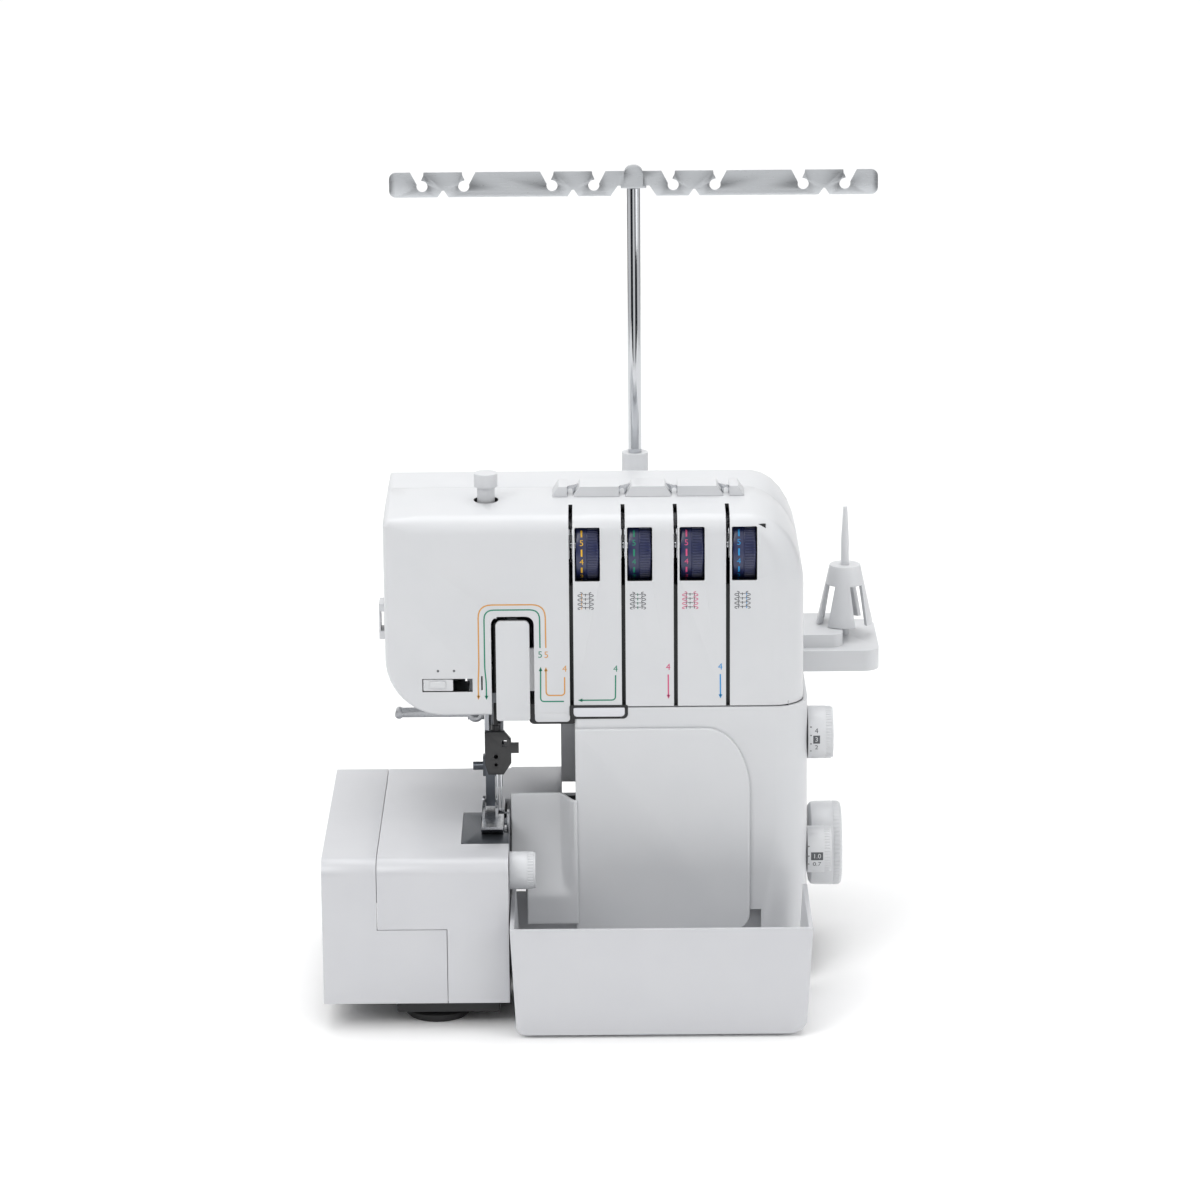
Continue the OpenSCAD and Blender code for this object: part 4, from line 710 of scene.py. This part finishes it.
class OVERLOCK_OT_cover(bpy.types.Operator):
    """Looper cover: flat panel on the right, blended into the hollow trimmings chute on the left"""

    bl_idname = "overlock.cover"
    bl_label = "Looper cover"

    def execute(self, context):
        x0, x1 = COL_X0, high("looper_cover", "x")
        z0, z1 = low("looper_cover", "z"), high("looper_cover", "z")
        face = low("looper_cover", "y")
        chute_x0 = low("looper_cover", "x")
        chute_top = BED_TOP + 15
        back = FRONT + 13.2
        bm = bmesh.new()
        points = rounded(x0, z0, x1, z1, [(2, 2), (10, 10), (26, 39), (1.2, 1.2)])
        shell(bm, points, face, face + 2.3, (0.9, 1.3, 1.0, 0.6), steps=5)
        panel = new_piece("cover_panel", bm, [ABS], "front_cover", ["looper_cover"])
        thicken(panel, 1.9)
        soften(panel, 0.0)

        def profile(z):
            """How far back the chute lies at height z."""
            t = min(max((BED_TOP + 2 - z) / (BED_TOP - 57), 0), 1)
            return back - 15.3 * min(t * t, 1.0)

        columns, rows = 30, 42
        bm = bmesh.new()
        grid = []
        for i in range(columns + 1):
            x = chute_x0 + (x0 + 1.2 - chute_x0) * i / columns
            s = min(max((x - (x0 - 9)) / 9.5, 0), 1)
            pull = s * s * (3 - 2 * s)
            line = []
            for k in range(rows + 1):
                z = chute_top + (41.5 - chute_top) * k / rows
                line.append(bm.verts.new((x, profile(z) * (1 - pull) + (face + 0.5) * pull, z)))
            grid.append(line)
        for i in range(columns):
            for k in range(rows):
                middle = (grid[i][k].co + grid[i + 1][k + 1].co) / 2
                if middle.x < chute_x0 + 9.1 and middle.z < 80:
                    continue
                bm.faces.new((grid[i][k], grid[i][k + 1], grid[i + 1][k + 1], grid[i + 1][k]))
        loose = [v for v in bm.verts if not v.link_faces]
        bmesh.ops.delete(bm, geom=loose, context="VERTS")
        chute = new_piece("cover_chute", bm, [ABS], "front_cover")
        modifier = chute.modifiers.new("wall", "SOLIDIFY")
        modifier.thickness = 1.9 * MM
        modifier.offset = 1
        bake(chute)
        soften(chute, 0.35)

        bm = bmesh.new()
        for x in (x0 + 12, x1 - 28):
            add_rod(bm, (x, FRONT + 4, 44), (x + 12, FRONT + 4, 44), 3.5)
            add_box(bm, x, FRONT - 1, 41, x + 12, FRONT + 2.5, 47)
        knuckles = new_piece("cover_knuckles", bm, [ABS], "front_cover")
        soften(knuckles, 0.3)
        return {"FINISHED"}


# ---- Operators: dials and prints ----
class OVERLOCK_OT_dials(bpy.types.Operator):
    """Four tension dials: ribbed on the right, with their numbers in the thread's colour on the left"""

    bl_idname = "overlock.dials"
    bl_label = "Tension dials"

    def execute(self, context):
        sizes = context.scene.overlock_prints
        step = math.radians(31)
        for i, x0 in enumerate(DIAL_X):
            bm = bmesh.new()
            ribs, per = sizes.dial_ribs, 6
            count = ribs * per
            # Profile over the width: rim fillet, smooth band, shoulder, ribbed band, rim fillet
            profile = [(0, -5.5), (0, -1.1), (0.3, -0.35), (1.1, -0.05), (6.2, -0.05), (6.5, -0.35), (6.8, -0.3),
                       (7.0, -0.05), (12.3, -0.05), (13.0, -0.4), (DIAL_W, -1.2), (DIAL_W, -5.5)]
            rings = []
            for x, dip in profile:
                ring = []
                for k in range(count):
                    a = 2 * math.pi * k / count
                    groove = 0.42 if 6.9 < x < 12.9 and k % per in (0, 1) else 0.0
                    r = DIAL_R + dip - groove
                    ring.append(bm.verts.new((x0 + x, DIAL_Y - r * math.cos(a), DIAL_Z + r * math.sin(a))))
                rings.append(ring)
            for near, far in zip(rings, rings[1:]):
                for k in range(count):
                    n = (k + 1) % count
                    bm.faces.new((near[k], near[n], far[n], far[k]))
            bm.faces.new(rings[0][::-1])
            bm.faces.new(rings[-1])
            bmesh.ops.recalc_face_normals(bm, faces=bm.faces)
            wheel = new_piece(f"dial_wheel_{i + 1}", bm, [NAVY], f"tension_{i + 1}", [f"tension_dial_{i + 1}"])
            soften(wheel, 0.0)

            bm = bmesh.new()
            reach = DIAL_R + 0.02

            def on_rim(middle):
                return lambda u, v: (x0 + 3.5 + u, DIAL_Y - reach * math.cos(middle + v / reach),
                                     DIAL_Z + reach * math.sin(middle + v / reach))

            for number in range(10):
                middle = math.radians(-12.2) + (number - 4) * step
                glyphs(bm, str(number), sizes.number_height * 1.35, on_rim(middle))
                if number < 9:
                    place = on_rim(middle + step / 2)
                    for k in range(4):
                        v0, v1 = -2.1 + 4.2 * k / 4, -2.1 + 4.2 * (k + 1) / 4
                        bm.faces.new([bm.verts.new(place(u, v)) for u, v in ((-0.5, v0), (0.5, v0), (0.5, v1), (-0.5, v1))])
            new_piece(f"dial_numbers_{i + 1}", bm, [INKS[i]], f"tension_{i + 1}")
        return {"FINISHED"}


def stitch_mark(bm, x, z, y, coloured):
    """Stitch diagram: two looper threads that wave, and two broken rows of needle thread. The coloured one is 1 to 4."""
    pitch, line = 2.6, sizes_line()
    for side, x_in, x_out in ((0, 2.6, 0.0), (1, 6.6, 9.0)):
        path = []
        for k in range(33):
            a = math.pi * k / 4
            path.append((x + (x_in + x_out) / 2 + (x_out - x_in) / 2 * math.tanh(2.2 * math.sin(a)) / math.tanh(2.2),
                         z + 0.4 + pitch * 4 * k / 32))
        ribbon(bm, path, line, y, 1 if coloured == 3 else 0)
    for column, where in ((1, 2.2), (2, 4.4), (4, 6.9)):
        for k in range(4):
            start = z + 0.5 + pitch * k
            ribbon(bm, [(x + where, start), (x + where, start + 1.7)], line, y, 1 if column == coloured else 0)
    for k in range(4):
        ribbon(bm, [(x + 2.8, z + 1.6 + pitch * k), (x + 6.4, z + 1.6 + pitch * k)], line * 0.8, y, 0)


def sizes_line():
    return bpy.context.scene.overlock_prints.fine_line


class OVERLOCK_OT_side_dials(bpy.types.Operator):
    """Handwheel drum, and the numbers and dots printed on the side dials"""

    bl_idname = "overlock.side_dials"
    bl_label = "Handwheel and side dials"

    def execute(self, context):
        x0, x1 = low("handwheel", "x"), high("handwheel", "x")
        y = (low("handwheel", "y") + high("handwheel", "y")) / 2
        z = (low("handwheel", "z") + high("handwheel", "z")) / 2
        radius = (high("handwheel", "z") - low("handwheel", "z")) / 2
        count = 240
        bm = bmesh.new()
        wide = min(20, x1 - x0)
        profile = [(0, 3.5), (0.2, 2.4), (1.6, 0.6), (4, 0.15), (wide - 6, 0.0), (wide - 5.4, 0.3), (wide - 4.8, 0.0),
                   (wide - 1.6, 0.2), (wide - 0.4, 1.2), (wide, 2.6), (wide, 8), (wide - 2.5, 10)]
        rings = []
        for x, dip in profile:
            fine = 0.22 if wide - 5 < x < wide - 1 else 0
            rings.append([bm.verts.new((x1 - wide + x,
                                        y - (radius - dip - fine * (k % 4 < 2)) * math.cos(2 * math.pi * k / count),
                                        z + (radius - dip - fine * (k % 4 < 2)) * math.sin(2 * math.pi * k / count)))
                          for k in range(count)])
        for near, far in zip(rings, rings[1:]):
            for k in range(count):
                n = (k + 1) % count
                bm.faces.new((near[k], near[n], far[n], far[k]))
        bm.faces.new(rings[0][::-1])
        bm.faces.new(rings[-1])
        add_rod(bm, (x0, y, z), (x1 - wide + 0.5, y, z), 7.5, segments=48)
        bmesh.ops.recalc_face_normals(bm, faces=bm.faces)
        wheel = new_piece("handwheel_drum", bm, [ABS], "shaft", ["handwheel"])
        soften(wheel, 0.0)

        def rim(name, share):
            """Place on the rim of a dial that faces forwards, at a share of its width."""
            cy = (low(name, "y") + high(name, "y")) / 2
            cz = (low(name, "z") + high(name, "z")) / 2
            r = (high(name, "z") - low(name, "z")) / 2 + 0.06
            cx = SIDE_X1 + 1 + (high(name, "x") - SIDE_X1 - 1) * share
            return lambda u, v: (cx + u, cy - r * math.cos(v / r), cz + r * math.sin(v / r))

        prints = {
            "stitch_length_dial": ("length_dial", 0.30, [("4", 5.2), ("2", -5.2)], "3", (7.6, 2.6, -2.6, -7.8)),
            "differential_dial": ("feed_ratio_dial", 0.36, [("0.7", -5.4)], "1.0", (6, 0.2, -5.2)),
        }
        for name, (body, share, words, boxed, dots) in prints.items():
            place = rim(name, share)
            ink = bmesh.new()
            for word, v in words:
                glyphs(ink, word, 4.2, lambda a, b, v=v: place(a, b + v))
            half = 2.0 if len(boxed) == 1 else 3.6
            for k in range(4):
                v0, v1 = -2.5 + 5 * k / 4, -2.5 + 5 * (k + 1) / 4
                corners = ((-half, v0), (half, v0), (half, v1), (-half, v1))
                ink.faces.new([ink.verts.new(place(u, v)) for u, v in corners])
            for v in dots:
                corners = ((-half - 1.9, v), (-half - 1.3, v - 0.55), (-half - 0.7, v), (-half - 1.3, v + 0.55))
                ink.faces.new([ink.verts.new(place(u, w)) for u, w in corners])
            new_piece(f"{body}_ink", ink, [INK_GREY], body)
            light = bmesh.new()
            glyphs(light, boxed, 4.0, lambda a, b: tuple(c + d for c, d in zip(place(a, b), (0, -0.08, 0))))
            new_piece(f"{body}_number", light, [ABS], body)
        return {"FINISHED"}


class OVERLOCK_OT_prints(bpy.types.Operator):
    """Threading paths, stitch diagrams, numbers and dots printed on the front"""

    bl_idname = "overlock.prints"
    bl_label = "Front prints"

    def execute(self, context):
        sizes = context.scene.overlock_prints
        y = FRONT - 0.06
        wide = sizes.path_line
        flat = {"orange": bmesh.new(), "green": bmesh.new(), "pink": bmesh.new(), "blue": bmesh.new(), "grey": bmesh.new()}
        low_end = ARM_Z0 + 9.5

        def digit(bm, word, x, z, size=5.6):
            glyphs(bm, word, size, lambda u, v: (x + u, y, z + v))

        # Outer path: from the last guide up, over the needle slot and down to the 5
        ink = flat["orange"]
        x0, x1, top = SLOT_X0 - 7.4, SLOT_X1 + 6.9, SLOT_TOP + 7.2
        ribbon(ink, bent([(x0 - 0.4, low_end + 1.5), (x0 - 0.4, ARM_Z0 + 22), (x0 + 0.1, ARM_Z0 + 29), (x0 + 0.1, top),
                          (x1 - 0.2, top), (x1, ARM_Z0 + 40.9)], 8.0), wide, y)
        arrow(ink, (x0 - 0.4, low_end), (0, -1), y)
        digit(ink, "5", x1 + 0.2, ARM_Z0 + 36.6)
        ribbon(ink, bent([(x1 - 0.1, ARM_Z0 + 27.8), (x1 - 0.1, ARM_Z0 + 11.9), (x1 + 10.8, ARM_Z0 + 11.9),
                          (x1 + 10.8, ARM_Z0 + 23)], 2.4), wide, y)
        arrow(ink, (x1 - 0.1, ARM_Z0 + 29.3), (0, 1), y)
        digit(ink, "4", x1 + 10.9, ARM_Z0 + 28)
        # Inner path
        ink = flat["green"]
        x0, x1, top = SLOT_X0 - 3.9, SLOT_X1 + 3.4, SLOT_TOP + 4.1
        ribbon(ink, bent([(x0 + 0.8, low_end + 1.4), (x0 + 0.8, ARM_Z0 + 21), (x0, ARM_Z0 + 28), (x0, top),
                          (x1, top), (x1 + 0.1, ARM_Z0 + 40.9)], 5.8), wide, y)
        arrow(ink, (x0 + 0.8, low_end - 0.1), (0, -1), y)
        digit(ink, "5", x1 + 0.1, ARM_Z0 + 36.7)
        ribbon(ink, bent([(x1 + 0.3, ARM_Z0 + 27.9), (x1 + 0.1, ARM_Z0 + 8.2), (SLIT_X[0] - 4.7, ARM_Z0 + 8.2)], 2.4), wide, y)
        arrow(ink, (x1 + 0.3, ARM_Z0 + 29.4), (0, 1), y)
        # The paths of the panels: the first runs left, the others go down
        start = SLIT_X[1] - 4.8
        digit(ink, "4", start, ARM_Z0 + 27.8)
        ribbon(ink, bent([(start, ARM_Z0 + 24), (start - 0.2, ARM_Z0 + 8.8), (SLIT_X[0] + 5, ARM_Z0 + 8.8)], 2.4), wide, y)
        arrow(ink, (SLIT_X[0] + 3.5, ARM_Z0 + 8.8), (-1, 0), y)
        for name, slit in (("pink", SLIT_X[2]), ("blue", SLIT_X[3])):
            ink = flat[name]
            digit(ink, "4", slit - 4.5, ARM_Z0 + 28.6)
            ribbon(ink, [(slit - 4.5, ARM_Z0 + 24.2), (slit - 4.4, ARM_Z0 + 10.7)], wide, y)
            arrow(ink, (slit - 4.4, ARM_Z0 + 9.2), (0, -1), y)
        # Two dots over the needle slider, one for each of its places
        for x in (ARM_X0 + 30.8, ARM_X0 + 40.2):
            dot = [flat["grey"].verts.new((x + 0.75 * math.cos(a), y, ARM_Z0 + 27.3 + 0.75 * math.sin(a)))
                   for a in (math.pi * k / 10 for k in range(20))]
            flat["grey"].faces.new(dot)
        inks = {"orange": INK_ORANGE, "green": INK_GREEN, "pink": INK_PINK, "blue": INK_BLUE, "grey": INK_GREY}
        for name, bm in flat.items():
            new_piece(f"print_{name}", bm, [inks[name]], "frame")
        for i, slit in enumerate(SLIT_X):
            bm = bmesh.new()
            stitch_mark(bm, slit + 4.0, ARM_Z0 + 63.6, y, (1, 2, 3, 4)[i])
            new_piece(f"stitch_mark_{i + 1}", bm, [INK_GREY, [INK_ORANGE, INK_GREEN, INK_PINK, INK_BLUE][i]], "frame")
        return {"FINISHED"}


# ---- Sizes that a user would change ----
class OverlockStage(bpy.types.PropertyGroup):
    camera_at: FloatVectorProperty(name="Camera", description="Where the camera stands", default=(-0.0045, -2.5826, 0.9407),
                                   subtype="XYZ", unit="LENGTH")
    pitch: FloatProperty(name="Pitch", description="How far the camera looks down", default=math.radians(15.5),
                         subtype="ANGLE", unit="ROTATION")
    roll: FloatProperty(name="Roll", description="Tilt of the camera about its view", default=math.radians(0.45),
                        subtype="ANGLE", unit="ROTATION")
    lens: FloatProperty(name="Lens", description="Focal length in millimetres", default=135.0, min=35, max=300)
    ambient: FloatProperty(name="Surround", description="Strength of the white surround", default=0.9, min=0, max=3)
    key: FloatProperty(name="Key", description="Power of the main light", default=30.0, min=0, unit="POWER")
    fill: FloatProperty(name="Fill", description="Power of the light from the right", default=15.0, min=0, unit="POWER")
    top: FloatProperty(name="Top", description="Power of the light from above", default=26.0, min=0, unit="POWER")


class OverlockPrints(bpy.types.PropertyGroup):
    dial_ribs: IntProperty(name="Ribs", description="Ribs round each tension dial", default=78, min=20, max=160)
    number_height: FloatProperty(name="Numbers", description="Height of a dial number in millimetres", default=3.6, min=2, max=6)
    path_line: FloatProperty(name="Paths", description="Width of a threading path in millimetres", default=0.8, min=0.2, max=1.5)
    fine_line: FloatProperty(name="Diagrams", description="Line of a stitch diagram in millimetres", default=0.42, min=0.1, max=1)


OPERATORS = [OVERLOCK_OT_stage, OVERLOCK_OT_frame, OVERLOCK_OT_arm, OVERLOCK_OT_lower, OVERLOCK_OT_cover,
             OVERLOCK_OT_dials, OVERLOCK_OT_side_dials, OVERLOCK_OT_prints]


class OVERLOCK_PT_panel(bpy.types.Panel):
    """Sizes and builders of the overlock machine"""

    bl_idname = "OVERLOCK_PT_panel"
    bl_label = "Overlock machine"
    bl_space_type = "VIEW_3D"
    bl_region_type = "UI"
    bl_category = "Overlock"

    def draw(self, context):
        for group in (context.scene.overlock_stage, context.scene.overlock_prints):
            for name in group.__annotations__:
                self.layout.prop(group, name)
        for operator in OPERATORS:
            self.layout.operator(operator.bl_idname)


CLASSES = [OverlockStage, OverlockPrints, *OPERATORS, OVERLOCK_PT_panel]


def register():
    for cls in CLASSES:
        bpy.utils.register_class(cls)
    bpy.types.Scene.overlock_stage = PointerProperty(type=OverlockStage)
    bpy.types.Scene.overlock_prints = PointerProperty(type=OverlockPrints)


def unregister():
    del bpy.types.Scene.overlock_prints
    del bpy.types.Scene.overlock_stage
    for cls in reversed(CLASSES):
        bpy.utils.unregister_class(cls)


def main():
    register()
    for operator in OPERATORS:
        category, name = operator.bl_idname.split(".")
        getattr(getattr(bpy.ops, category), name)()


if __name__ == "__main__":
    main()
